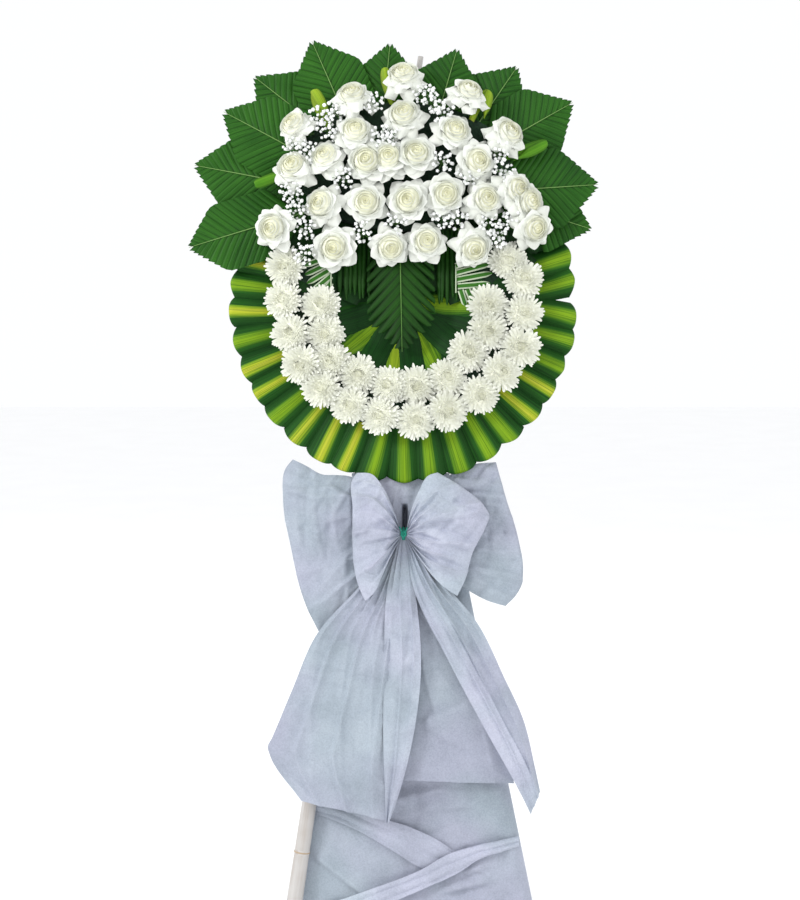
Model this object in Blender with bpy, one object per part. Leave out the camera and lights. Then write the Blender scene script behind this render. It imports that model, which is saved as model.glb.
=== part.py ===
"""Funeral wreath of roses, chrysanthemums and palm fronds on a bamboo tripod with a cloth bow.

Run with: blender --background --python part.py
Sizes below are in millimetres. The wreath and the front poles are laid out flat, with x to the
right, y up the wreath and z toward the viewer, and an empty leans that layout back into place.
"""

import math
import random

import bmesh
import bpy
from mathutils import Matrix, Vector

MM = 0.001
GAP = 0.3

# Place of the wreath's centre in the world, and how far the wreath and front poles lean back.
CENTRE = (21.0, -318.0, 1306.0)
LEAN = 9.0

# Bamboo poles.
POLE_SIDES = 8
POLE_FOOT_RADIUS = 17.0
POLE_TIP_RADIUS = 6.0
POLE_TIP_HEIGHT = 534.0
POLE_FOOT_HEIGHT = -1322.0
CULM_LENGTH = 290.0
CULM_RING = 1.14
LEFT_FOOT_X, LEFT_TIP_X = -238.0, 37.0
RIGHT_FOOT_X, RIGHT_TIP_X = 256.0, -107.0
CROSSING_HEIGHT = 127.0
BOARD_REST_RADIUS = 12.2
REAR_FOOT_BACK = 800.0
REAR_TOP_HEIGHT = 150.0

# Foam board and blocks.
BOARD_RADIUS = 320.0
BOARD_THICK = 30.0
RING_INNER, RING_OUTER, RING_THICK = 158.0, 268.0, 34.0
RING_START, RING_END = 158.0, 382.0
DOME_CENTRE = (0.0, 275.0)
DOME_HALF_WIDTH, DOME_HALF_HEIGHT = 222.0, 134.0
DOME_THICK = 56.0

# Cross rail at the bow.
RAIL_HEIGHT = -484.0
RAIL_RADIUS = 9.0
RAIL_LEFT, RAIL_RIGHT = -158.0, 136.0

# Leaf ruffle round the board.
RUFFLE_INNER, RUFFLE_RIM = 273.0, 365.0
RUFFLE_START, RUFFLE_LEAVES, RUFFLE_PITCH = 150.0, 25, 9.6
RUFFLE_CREST = 16.0
LEAF_THICK = 1.2

# Palm fronds: tip, point where the rib comes out of the roses, half width, level.
FROND_LEAFLETS = 6
LEAFLET_ANGLE = 52.0
LEVELS = (25.0, 33.0, 41.0)
FAN = [
    ((-448, 110), (-299, 154), 72, 1),
    ((-438, 285), (-309, 259), 76, 0),
    ((-377, 396), (-238, 320), 80, 1),
    ((-312, 471), (-255, 425), 78, 0),
    ((-192, 545), (-143, 432), 78, 1),
    ((-28, 541), (-37, 446), 76, 0),
    ((112, 526), (91, 453), 76, 1),
    ((238, 492), (186, 415), 76, 0),
    ((354, 415), (249, 354), 78, 1),
    ((406, 240), (245, 228), 84, 2),
    ((390, 150), (345, 164), 76, 0),
]

# Rose bunches, each a list of flower places on the wreath.
ROSE_BUNCHES = [
    [(-159, 289), (-222, 362), (-228, 268)],
    [(-161, 194), (-266, 148), (-142, 106)],
    [(-104, 345), (-106, 419)],
    [(3, 379), (1, 465)],
    [(-33, 289), (-74, 285), (24, 295)],
    [(-79, 196), (-30, 112)],
    [(102, 345), (131, 427)],
    [(14, 201), (85, 217), (47, 114)],
    [(148, 289), (211, 341)],
    [(226, 228), (251, 201), (268, 156)],
    [(165, 205), (144, 110)],
]
ROSE_RADIUS = 46.0
ROSE_BASE = 58.0
ROSE_DOME = 22.0
GYPSOPHILA = [
    (-169, 371), (-154, 336), (-64, 398), (-45, 335), (-228, 211), (-208, 130), (-85, 137),
    (62, 398), (79, 274), (192, 275), (-16, 150), (108, 161), (205, 140),
]

# Chrysanthemum groups, laid in two rows round the ring.
MUM_GROUPS = [
    [(-247, -1), (-243, 68), (-169, -12)],
    [(-159, -70), (-232, -70), (-150, -127)],
    [(-209, -133), (-167, -182)],
    [(-110, -217), (-47, -240), (-93, -154)],
    [(26, -177), (24, -249), (-30, -177)],
    [(89, -228), (156, -196), (89, -161)],
    [(173, -64), (201, -150), (131, -108)],
    [(240, -98), (247, -28)],
    [(215, 79), (247, 41), (173, -12)],
]
MUM_RADIUS = 41.0
MUM_BASE = 39.0

# Yellow-green folded leaves: root, tip.
ACCENTS = [
    ((-150, 360), (-184, 431)),
    ((-200, 262), (-308, 240)),
    ((-10, 392), (-36, 500)),
    ((140, 370), (176, 431)),
    ((205, 300), (300, 316)),
]
ACCENT_LEVEL = 49.0

# Bow: half height of the gathered waist and the layers from back to front.
KNOT = (0.0, -484.0)
WAIST_HALF = 11.0
CLOTH_GAP = 0.4

WHITE = (0.86, 0.86, 0.82)
CREAM = (0.88, 0.84, 0.70)
DARK_GREEN = (0.02, 0.11, 0.03)
STRIPED_GREEN = (0.10, 0.26, 0.04)
YELLOW_GREEN = (0.42, 0.50, 0.05)
BAMBOO = (0.66, 0.58, 0.42)
FOAM = (0.10, 0.30, 0.12)
STYRENE = (0.85, 0.85, 0.83)
CLOTH = (0.72, 0.76, 0.86)
CORD = (0.50, 0.42, 0.28)
WIRE = (0.35, 0.36, 0.36)
STRING = (0.03, 0.30, 0.20)


def clear_scene():
    for item in list(bpy.data.objects):
        bpy.data.objects.remove(item, do_unlink=True)


def make_plane():
    """The empty that carries the wreath layout."""
    plane = bpy.data.objects.new("wreath_plane", None)
    plane.location = Vector(CENTRE) * MM
    plane.rotation_euler = (math.radians(90.0 - LEAN), 0.0, 0.0)
    bpy.context.scene.collection.objects.link(plane)
    return plane


def plane_matrix():
    """Layout millimetres to world millimetres."""
    return Matrix.Translation(CENTRE) @ Matrix.Rotation(math.radians(90.0 - LEAN), 4, "X")


def make_material(name, colour, roughness):
    material = bpy.data.materials.new(name)
    material.use_nodes = True
    shader = material.node_tree.nodes["Principled BSDF"]
    shader.inputs["Base Color"].default_value = (*colour, 1.0)
    shader.inputs["Roughness"].default_value = roughness
    shader.inputs["Metallic"].default_value = 0.0
    return material


def temp_object(bm):
    """A throwaway object in millimetres, for Booleans."""
    mesh = bpy.data.meshes.new("temp")
    bmesh.ops.recalc_face_normals(bm, faces=bm.faces)
    bm.to_mesh(mesh)
    bm.free()
    item = bpy.data.objects.new("temp", mesh)
    bpy.context.scene.collection.objects.link(item)
    return item


def boolean(item, others, operation, solver):
    """Join or cut with every object of a list at once, applied; the list's objects are removed."""
    group = bpy.data.collections.new("tools")
    bpy.context.scene.collection.children.link(group)
    for other in others:
        group.objects.link(other)
    modifier = item.modifiers.new("tools", "BOOLEAN")
    modifier.operation = operation
    modifier.operand_type = "COLLECTION"
    modifier.collection = group
    modifier.solver = solver
    depsgraph = bpy.context.evaluated_depsgraph_get()
    mesh = bpy.data.meshes.new_from_object(item.evaluated_get(depsgraph))
    item.modifiers.clear()
    item.data = mesh
    for other in others:
        bpy.data.objects.remove(other, do_unlink=True)
    bpy.data.collections.remove(group)


def fuse(shapes, solver="MANIFOLD"):
    """One closed body from overlapping closed bodies."""
    items = [temp_object(bm) for bm in shapes]
    if len(items) > 1:
        boolean(items[0], items[1:], "UNION", solver)
        keep_outer_shell(items[0].data)
    return items[0]


def keep_outer_shell(mesh):
    """Fill the sealed pockets between fused repeats by deleting every shell but the largest."""
    bm = bmesh.new()
    bm.from_mesh(mesh)
    left, shells = set(bm.verts), []
    while left:
        shell, queue = set(), [left.pop()]
        while queue:
            vert = queue.pop()
            shell.add(vert)
            for edge in vert.link_edges:
                other = edge.other_vert(vert)
                if other in left:
                    left.remove(other)
                    queue.append(other)
        shells.append(shell)
    shells.sort(key=len)
    for shell in shells[:-1]:
        bmesh.ops.delete(bm, geom=list(shell), context="VERTS")
    bm.to_mesh(mesh)
    bm.free()


def carve(item, cutters, solver="EXACT"):
    boolean(item, [temp_object(bm) for bm in cutters], "DIFFERENCE", solver)


def finish(item, name, look, plane, smooth=0.0):
    """Name a layout object, scale it to metres, give it its material and hang it on the plane."""
    mesh = item.data
    bm = bmesh.new()
    bm.from_mesh(mesh)
    bmesh.ops.remove_doubles(bm, verts=bm.verts, dist=0.002)
    bmesh.ops.dissolve_degenerate(bm, dist=0.002, edges=bm.edges)
    bmesh.ops.triangulate(bm, faces=bm.faces)
    bmesh.ops.scale(bm, vec=(MM, MM, MM), verts=bm.verts)
    bm.to_mesh(mesh)
    bm.free()
    mesh.name = item.name = name
    mesh.materials.clear()
    mesh.materials.append(make_material(name + "_finish", *look))
    if smooth:
        mesh.shade_smooth()
        mesh.set_sharp_from_angle(angle=math.radians(smooth))
    item.parent = plane
    return item


def loft(rings):
    """A closed body through rings with the same number of points; the ends are flat."""
    bm = bmesh.new()
    rows = [[bm.verts.new(point) for point in ring] for ring in rings]
    count = len(rows[0])
    for low, high in zip(rows, rows[1:]):
        for i in range(count):
            j = (i + 1) % count
            bm.faces.new((low[i], low[j], high[j], high[i]))
    bm.faces.new(list(reversed(rows[0])))
    bm.faces.new(rows[-1])
    return bm


def box(low, high):
    (x0, y0, z0), (x1, y1, z1) = low, high
    rings = [[(x0, y0, z), (x1, y0, z), (x1, y1, z), (x0, y1, z)] for z in (z0, z1)]
    return loft(rings)


def rod(start, end, radius, sides, end_radius=None):
    """A straight rod whose first corner faces the viewer as nearly as it can."""
    start, end = Vector(start), Vector(end)
    axis = (end - start).normalized()
    toward = Vector((0, 0, 1)) if abs(axis.z) < 0.9 else Vector((0, 1, 0))
    first = (toward - axis * toward.dot(axis)).normalized()
    second = axis.cross(first)
    rings = []
    for point, size in ((start, radius), (end, end_radius or radius)):
        turns = [math.tau * i / sides for i in range(sides)]
        rings.append([point + (first * math.cos(a) + second * math.sin(a)) * size for a in turns])
    return loft(rings)


def blade(top, bottom, outline):
    """A thin closed blade from matching top and bottom faces.

    top and bottom are lists of points, outline lists the faces as point numbers.
    """
    bm = bmesh.new()
    upper = [bm.verts.new(point) for point in top]
    lower = [bm.verts.new(point) for point in bottom]
    edges = {}
    for face in outline:
        bm.faces.new([upper[i] for i in face])
        bm.faces.new([lower[i] for i in reversed(face)])
        for a, b in zip(face, face[1:] + face[:1]):
            edges[(a, b)] = True
    for a, b in edges:
        if (b, a) not in edges:
            bm.faces.new((upper[b], upper[a], lower[a], lower[b]))
    return bm


# Poles


class Pole:
    """A tapering bamboo culm between two layout points."""

    def __init__(self, foot, tip, foot_radius, tip_radius):
        self.foot, self.tip = Vector(foot), Vector(tip)
        self.foot_radius, self.tip_radius = foot_radius, tip_radius

    def share(self, height):
        return (height - self.foot.y) / (self.tip.y - self.foot.y)

    def point(self, height):
        return self.foot.lerp(self.tip, self.share(height))

    def radius(self, height):
        return self.foot_radius + (self.tip_radius - self.foot_radius) * self.share(height)

    def body(self, grow=0.0):
        """The culm, with a raised ring at each joint; grow makes the cutter for a hole."""
        axis = (self.tip - self.foot).normalized()
        length = (self.tip - self.foot).length
        front = (Vector((0, 0, 1)) - axis * axis.z).normalized()
        side = axis.cross(front)
        stations = [(-90.0, 1.0)]
        at = CULM_LENGTH * 0.72
        while at < length - 60.0:
            stations += [(at - 7.0, 1.0), (at, CULM_RING), (at + 7.0, 1.0)]
            at += CULM_LENGTH
        stations.append((length, 1.0))
        rings = []
        for along, swell in stations:
            size = self.foot_radius + (self.tip_radius - self.foot_radius) * along / length
            size = size * swell + grow
            turns = [math.tau * i / POLE_SIDES for i in range(POLE_SIDES)]
            centre = self.foot + axis * along
            rings.append([centre + (front * math.cos(a) + side * math.sin(a)) * size for a in turns])
        return loft(rings)


def make_poles():
    """Two front poles crossing behind the board and the rear pole, all in layout space."""
    front_z = -BOARD_THICK - GAP - BOARD_REST_RADIUS
    left = Pole((LEFT_FOOT_X, POLE_FOOT_HEIGHT, front_z), (LEFT_TIP_X, POLE_TIP_HEIGHT, front_z),
                POLE_FOOT_RADIUS, POLE_TIP_RADIUS)
    behind = 2.0 * left.radius(CROSSING_HEIGHT) + GAP
    slope = behind / (CROSSING_HEIGHT - POLE_FOOT_HEIGHT)
    tip_z = front_z - slope * (POLE_TIP_HEIGHT - POLE_FOOT_HEIGHT)
    right = Pole((RIGHT_FOOT_X, POLE_FOOT_HEIGHT, front_z), (RIGHT_TIP_X, POLE_TIP_HEIGHT, tip_z),
                 POLE_FOOT_RADIUS, POLE_TIP_RADIUS)
    to_layout = plane_matrix().inverted()
    rear_foot = to_layout @ Vector((CENTRE[0] - 20.0, CENTRE[1] + REAR_FOOT_BACK, 0.0))
    top_radius = 9.0
    top = Vector((-24.0, REAR_TOP_HEIGHT, 0.0))
    top.z = right.point(REAR_TOP_HEIGHT).z - right.radius(REAR_TOP_HEIGHT) - GAP - top_radius * 1.12
    rear = Pole(rear_foot, top, POLE_FOOT_RADIUS, top_radius)
    return left, right, rear


def cut_at_floor(item):
    """Cut a layout object off flat at the floor."""
    to_layout = plane_matrix().inverted()
    bm = bmesh.new()
    bm.from_mesh(item.data)
    cut = bmesh.ops.bisect_plane(
        bm, geom=bm.verts[:] + bm.edges[:] + bm.faces[:], plane_co=to_layout @ Vector((0, 0, 0)),
        plane_no=to_layout.to_3x3() @ Vector((0, 0, 1)), clear_inner=True)
    rim = [part for part in cut["geom_cut"] if isinstance(part, bmesh.types.BMEdge)]
    bmesh.ops.contextual_create(bm, geom=rim)
    bmesh.ops.recalc_face_normals(bm, faces=bm.faces)
    bm.to_mesh(item.data)
    bm.free()


def build_stand(plane, left, right, rear):
    for name, pole in (("pole_left", left), ("pole_right", right), ("pole_rear", rear)):
        item = temp_object(pole.body())
        cut_at_floor(item)
        finish(item, name, (BAMBOO, 0.55), plane, 40.0)
    rail_ends = []
    for pole, x in ((left, RAIL_LEFT), (right, RAIL_RIGHT)):
        at = pole.point(RAIL_HEIGHT)
        back = at.z - pole.radius(RAIL_HEIGHT) - RAIL_RADIUS - GAP - 0.4
        rail_ends.append((at.x, back, x))
    (x0, z0, end0), (x1, z1, end1) = rail_ends
    tilt = (z1 - z0) / (x1 - x0)
    start = (end0, RAIL_HEIGHT, z0 + tilt * (end0 - x0))
    end = (end1, RAIL_HEIGHT, z0 + tilt * (end1 - x0))
    finish(temp_object(rod(start, end, RAIL_RADIUS, 10)), "cross_rail", (BAMBOO, 0.55), plane, 40.0)
    rail_hole = rod(start, end, RAIL_RADIUS + GAP, 10)
    for name, pole in (("lashing_left", left), ("lashing_right", right)):
        at = pole.point(RAIL_HEIGHT)
        reach = pole.radius(RAIL_HEIGHT) + 3.0
        low = (at.x - 16.0, RAIL_HEIGHT - 13.0, at.z - reach - 2.0 * RAIL_RADIUS - 3.0)
        item = temp_object(box(low, (at.x + 16.0, RAIL_HEIGHT + 13.0, at.z + reach)))
        carve(item, [pole.body(GAP), rail_hole.copy()])
        finish(item, name, (CORD, 0.9), plane)
    rail_hole.free()
    cross = left.point(CROSSING_HEIGHT)
    low = (cross.x - 21.0, CROSSING_HEIGHT - 22.0, cross.z - 52.0)
    high = (cross.x + 21.0, CROSSING_HEIGHT + 18.0, -BOARD_THICK - GAP)
    item = temp_object(box(low, high))
    carve(item, [pole.body(GAP) for pole in (left, right, rear)])
    finish(item, "lashing_top", (CORD, 0.9), plane)
    return start, end


# Board, ties and foam


def disc(radius, low, high, sides):
    turns = [math.tau * i / sides for i in range(sides)]
    return loft([[(radius * math.cos(a), radius * math.sin(a), z) for a in turns] for z in (low, high)])


TIE_HEIGHT = -110.0
TIE_WIRE = 2.4
TIE_REACH = 4.0


def tie_ring(pole, grow):
    """A square loop of wire round a pole, passing through the board."""
    at = pole.point(TIE_HEIGHT)
    half = pole.radius(TIE_HEIGHT) * CULM_RING + TIE_REACH
    back = at.z - pole.radius(TIE_HEIGHT) * CULM_RING - GAP
    return wire_loop((at.x - half, GAP), (at.x + half, back), TIE_HEIGHT, grow)


def wire_loop(front_left, back_right, height, grow):
    """A closed loop of square wire in the plane across the layout at one height."""
    (x0, z1), (x1, z0) = front_left, back_right
    wire = TIE_WIRE
    inner = [(x0 + grow, z1 - grow), (x1 - grow, z1 - grow), (x1 - grow, z0 + grow), (x0 + grow, z0 + grow)]
    outer = [(x0 - wire - grow, z1 + wire + grow), (x1 + wire + grow, z1 + wire + grow),
             (x1 + wire + grow, z0 - wire - grow), (x0 - wire - grow, z0 - wire - grow)]
    low, high = height - wire / 2 - grow, height + wire / 2 + grow
    bm = bmesh.new()
    rings = [[bm.verts.new((x, y, z)) for x, z in line]
             for line, y in ((inner, low), (outer, low), (outer, high), (inner, high))]
    for a, b in zip(rings, rings[1:] + rings[:1]):
        for i in range(4):
            j = (i + 1) % 4
            bm.faces.new((a[i], a[j], b[j], b[i]))
    return bm


def build_board(plane, left, right):
    board = temp_object(disc(BOARD_RADIUS, -BOARD_THICK, 0.0, 40))
    carve(board, [tie_ring(left, GAP), tie_ring(right, GAP)])
    finish(board, "foam_board", (STYRENE, 0.8), plane)
    for name, pole in (("tie_left", left), ("tie_right", right)):
        finish(temp_object(tie_ring(pole, 0.0)), name, (WIRE, 0.5), plane)


def stem_hole(x, y, bottom, top):
    return rod((x, y, bottom), (x, y, top + 5.0), STEM_RADIUS + GAP, 5)


STEM_RADIUS = 3.0
STEM_DEPTH = 20.0


def build_ring_foam(plane):
    """The curved block under the chrysanthemums, with a hole for each group's stem."""
    steps = 18
    rings = []
    for i in range(steps + 1):
        a = math.radians(RING_START + (RING_END - RING_START) * i / steps)
        c, s = math.cos(a), math.sin(a)
        section = ((RING_INNER, GAP), (RING_OUTER, GAP), (RING_OUTER, RING_THICK - 8.0),
                   (RING_OUTER - 10.0, RING_THICK), (RING_INNER + 10.0, RING_THICK),
                   (RING_INNER, RING_THICK - 8.0))
        rings.append([(r * c, r * s, z) for r, z in section])
    item = temp_object(loft(rings))
    holes = [stem_hole(*group[0], RING_THICK - STEM_DEPTH - GAP, RING_THICK) for group in MUM_GROUPS]
    carve(item, holes)
    finish(item, "ring_foam", (FOAM, 0.9), plane)


def dome_edge(x, y, dx, dy):
    """Distance from a point inside the rose foam to its side wall along a direction."""
    px, py = (x - DOME_CENTRE[0]) / DOME_HALF_WIDTH, (y - DOME_CENTRE[1]) / DOME_HALF_HEIGHT
    qx, qy = dx / DOME_HALF_WIDTH, dy / DOME_HALF_HEIGHT
    a, b, c = qx * qx + qy * qy, px * qx + py * qy, px * px + py * py - 1.0
    return (-b + math.sqrt(b * b - a * c)) / a


def build_rose_foam(plane, frond_holes):
    turns = [math.tau * i / 28 for i in range(28)]
    cx, cy = DOME_CENTRE
    rings = []
    for share, z in ((1.0, GAP), (1.0, DOME_THICK - 4.0), (0.94, DOME_THICK)):
        rings.append([(cx + DOME_HALF_WIDTH * share * math.cos(a),
                       cy + DOME_HALF_HEIGHT * share * math.sin(a), z) for a in turns])
    item = temp_object(loft(rings))
    holes = [stem_hole(*bunch_stem(bunch), DOME_THICK - STEM_DEPTH - GAP, DOME_THICK) for bunch in ROSE_BUNCHES]
    carve(item, holes + frond_holes)
    finish(item, "rose_foam", (FOAM, 0.9), plane)


# Leaves


def build_ruffle(plane):
    """Folded leaves side by side round the rim: each rises to a crest between two valleys."""
    columns = ((0.0, 0.0, 0.0), (0.28, 0.85, 0.85), (0.72, 0.85, 0.85))
    top, faces = [], []
    count = RUFFLE_LEAVES * len(columns) + 1
    for i in range(count):
        leaf, column = divmod(i, len(columns))
        across, lift, bulge = columns[column]
        a = math.radians(RUFFLE_START + RUFFLE_PITCH * (leaf + across))
        rim = RUFFLE_RIM - 14.0 + 14.0 * bulge
        for radius, crest in ((RUFFLE_INNER, 0.6), (rim, 1.0)):
            z = 2.0 + RUFFLE_CREST * crest * lift
            top.append((radius * math.cos(a), radius * math.sin(a), z))
    for i in range(count - 1):
        a = 2 * i
        faces += [[a, a + 1, a + 3, a + 2]]
    bottom = [(x, y, z - LEAF_THICK) for x, y, z in top]
    item = temp_object(blade(top, bottom, faces))
    finish(item, "leaf_ruffle", (STRIPED_GREEN, 0.45), plane)


def pointed_leaf(root, tip, half_width, z, crest, thick=LEAF_THICK, droop=0.0):
    """An arched leaf with a pointed tip, wide in its middle."""
    root, tip = Vector((*root, 0.0)), Vector((*tip, 0.0))
    axis = tip - root
    side = Vector((-axis.y, axis.x, 0.0)).normalized()
    top, faces = [], []
    shape = ((0.0, 0.35), (0.3, 0.9), (0.65, 1.0), (0.88, 0.6))
    for along, width in shape:
        at = root + axis * along
        low = z - droop * along * along
        top.append(at - side * half_width * width + Vector((0, 0, low)))
        top.append(at + Vector((0, 0, low + crest)))
        top.append(at + side * half_width * width + Vector((0, 0, low)))
    top.append(tip + Vector((0, 0, z - droop + crest * 0.3)))
    for i in range(len(shape) - 1):
        a = 3 * i
        faces += [[a, a + 3, a + 4, a + 1], [a + 1, a + 4, a + 5, a + 2]]
    last = 3 * (len(shape) - 1)
    faces += [[last, last + 3, last + 1], [last + 1, last + 3, last + 2]]
    bottom = [point - Vector((0, 0, thick)) for point in top]
    return blade(top, bottom, faces)


def build_centre_leaves(plane):
    """Leaves that radiate from the middle and close the ring's hole."""
    shapes = []
    for i in range(9):
        a = math.radians(176.0 + 23.5 * i)
        root = (24.0 * math.cos(a), 24.0 * math.sin(a))
        tip = (150.0 * math.cos(a), 150.0 * math.sin(a))
        shapes.append(pointed_leaf(root, tip, 27.0, 5.0 + 6.0 * (i % 2), 3.0))
    hub = disc(32.0, GAP, 12.2, 12)
    item = fuse([hub] + shapes)
    finish(item, "centre_leaves", (STRIPED_GREEN, 0.45), plane)


def frond_height(x, y, off, level):
    """Common curved surface that all the fan's blades follow, so that they never cross."""
    from_hub = math.hypot(x, y - 184.0)
    droop = 9.0 * max(0.0, (from_hub - 250.0) / 200.0) ** 2
    return level + 3.0 * (1.0 - off) - droop


def leaflet_reach(start, length, half_width, angle):
    """Length of a leaflet from its place on the rib to the frond's trimmed outline."""
    reach = 4.0
    while reach < 160.0:
        x = start + reach * math.cos(angle)
        shoulder = 0.78 * half_width + 0.9 * x
        point = (length - x) * 1.05
        if reach * math.sin(angle) > min(half_width, shoulder, point):
            break
        reach += 1.0
    return reach


def frond_blade(root, direction, length, half_width, level, stem, narrow=LEAFLET_ANGLE):
    """A trimmed palm frond: leaflets in one thin blade, cut in to the rib, on a flat stalk."""
    dx, dy = direction
    angle = math.radians(narrow)
    count = FROND_LEAFLETS
    top, drop, faces = [], [], []

    def add(along, off, deep):
        x, y = root[0] + dx * along - dy * off, root[1] + dy * along + dx * off
        z = frond_height(x, y, abs(off) / half_width, level)
        top.append((x, y, z))
        drop.append(deep)
        return len(top) - 1

    rib_end = length * 0.90
    step = rib_end / count
    rib = [add(-stem, 0.0, 2.2)] + [add(step * i, 0.0, 2.2) for i in range(count + 1)]
    point = add(length, 0.0, 1.0)
    for sign in (-1.0, 1.0):
        edge = [add(-stem, 2.2 * sign, 2.2)] + [add(step * i, 2.6 * sign, 2.0) for i in range(count + 1)]
        for i in range(count + 1):
            order = [rib[i], rib[i + 1], edge[i + 1], edge[i]]
            faces.append(order if sign > 0 else order[::-1])
        for i in range(count):
            begin = step * i
            far = leaflet_reach(begin, length, half_width, angle)
            end = step * (i + 0.82)
            farther = leaflet_reach(end, length, half_width, angle)
            first = add(begin + far * 0.93 * math.cos(angle), sign * far * 0.93 * math.sin(angle), 0.9)
            second = add(end + farther * math.cos(angle), sign * farther * math.sin(angle), 0.9)
            order = [edge[i + 1], edge[i + 2], second, first]
            faces.append(order if sign > 0 else order[::-1])
        order = [rib[-1], point, edge[-1]]
        faces.append(order if sign > 0 else order[::-1])
    bottom = [(x, y, z - deep) for (x, y, z), deep in zip(top, drop)]
    return blade(top, bottom, faces)


def fan_frond(tip, rib_point):
    """Where a frond's rib enters the foam wall, its direction and its whole length."""
    tip, rib_point = Vector(tip), Vector(rib_point)
    direction = (tip - rib_point).normalized()
    along = [rib_point - direction * step for step in range(0, 400, 4)]
    inside = min(along, key=dome_depth)
    wall = dome_edge(inside.x, inside.y, direction.x, direction.y)
    root = inside + direction * wall
    return root, direction, (tip - root).length


def dome_depth(point):
    """1 on the foam's side wall, less inside it."""
    x = (point.x - DOME_CENTRE[0]) / DOME_HALF_WIDTH
    y = (point.y - DOME_CENTRE[1]) / DOME_HALF_HEIGHT
    return math.hypot(x, y)


FROND_STEM = 24.0
HIDDEN_RIB = 62.0
SMALL_FRONDS = [
    ("frond_front", (-8.0, 140.0), (-3.0, -112.0), 70.0, 44.0, 38.0),
    ("frond_front_left", (-96.0, 152.0), (-104.0, 8.0), 34.0, 36.0, 70.0),
    ("frond_front_right", (96.0, 152.0), (98.0, 2.0), 32.0, 36.0, 70.0),
]


def hole_for_stem(root, direction, level):
    """Plain hole for a frond's flat stalk in the rose foam's side."""
    dx, dy = direction
    z = frond_height(root[0], root[1], 0.0, level)
    inner = -FROND_STEM - 1.0
    rings = []
    for along in (inner, 30.0):
        x, y = root[0] + dx * along, root[1] + dy * along
        rings.append([(x - dy * off, y + dx * off, h) for off, h in
                      ((-3.2, z - 3.2), (3.2, z - 3.2), (3.2, z + 1.2), (-3.2, z + 1.2))])
    return loft(rings)


def build_fronds(plane):
    holes = []
    for i, (tip, rib_point, half_width, level) in enumerate(FAN):
        root, direction, length = fan_frond(tip, rib_point)
        bare = max(4.0, (Vector(rib_point) - root).dot(direction) - HIDDEN_RIB)
        start = root + direction * bare
        body = frond_blade(start, direction, length - bare, half_width, LEVELS[level], FROND_STEM + bare)
        finish(temp_object(body), f"frond_{i + 1:02d}", (DARK_GREEN, 0.4), plane)
        holes.append(hole_for_stem(root, direction, LEVELS[level]))
    for name, root, tip, half_width, level, narrow in SMALL_FRONDS:
        root, tip = Vector(root), Vector(tip)
        direction = (tip - root).normalized()
        start = (root.x, root.y)
        bare = 6.0
        leafy = root + direction * bare
        body = frond_blade(leafy, direction, (tip - leafy).length, half_width, level,
                           FROND_STEM + bare, narrow)
        finish(temp_object(body), name, (DARK_GREEN, 0.4), plane)
        holes.append(hole_for_stem(start, direction, level))
    return holes


def build_accents(plane):
    holes = []
    for i, (root, tip) in enumerate(ACCENTS):
        direction = (Vector(tip) - Vector(root)).normalized()
        body = pointed_leaf(root, tip, 12.0, ACCENT_LEVEL, 3.0)
        finish(temp_object(body), f"accent_leaf_{i + 1}", (YELLOW_GREEN, 0.45), plane)
        start = Vector(root) - direction * 1.0
        end = Vector(tip)
        side = Vector((-direction.y, direction.x))
        corners = [start - side * 13.0, end - side * 13.0, end + side * 13.0, start + side * 13.0]
        holes.append(loft([[(c.x, c.y, z) for c in corners]
                           for z in (ACCENT_LEVEL - LEAF_THICK - GAP, DOME_THICK + 5.0)]))
    return holes


# Flowers


def spun_head(centre, profile, lobes, base, rng):
    """A flower of lobed tiers: every tier's points alternate between petal tips and notches."""
    bm = bmesh.new()
    cx, cy = centre
    turn = rng.uniform(0.0, math.tau)
    low = bm.verts.new((cx, cy, base + profile[0][1]))
    rows = []
    for radius, height, notch, shift in profile[1:-1]:
        row = []
        for i in range(2 * lobes):
            a = turn + math.pi * (i + shift) / lobes
            size = radius * (1.0 if i % 2 == 0 else notch)
            row.append(bm.verts.new((cx + size * math.cos(a), cy + size * math.sin(a), base + height)))
        rows.append(row)
    high = bm.verts.new((cx, cy, base + profile[-1][1]))
    count = 2 * lobes
    for i in range(count):
        j = (i + 1) % count
        bm.faces.new((low, rows[0][j], rows[0][i]))
        bm.faces.new((high, rows[-1][i], rows[-1][j]))
        for a, b in zip(rows, rows[1:]):
            bm.faces.new((a[i], a[j], b[j]))
            bm.faces.new((a[i], b[j], b[i]))
    return bm


ROSE_PROFILE = (
    (0.0, 0.0),
    (0.95, 8.0, 0.78, 0.0),
    (0.64, 17.0, 0.90, 0.5),
    (0.68, 31.0, 0.84, 1.0),
    (0.38, 35.0, 0.90, 1.5),
    (0.30, 46.0, 0.80, 2.0),
    (0.0, 42.0),
)
MUM_PROFILE = (
    (0.0, 0.0),
    (1.0, 9.0, 0.74, 0.0),
    (0.92, 19.0, 0.70, 1.0),
    (0.66, 29.0, 0.70, 2.0),
    (0.34, 36.0, 0.70, 3.0),
    (0.0, 38.0),
)


def scaled(profile, radius):
    rows = [(step[0] * radius, *step[1:]) for step in profile[1:-1]]
    return (profile[0], *rows, profile[-1])


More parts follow.
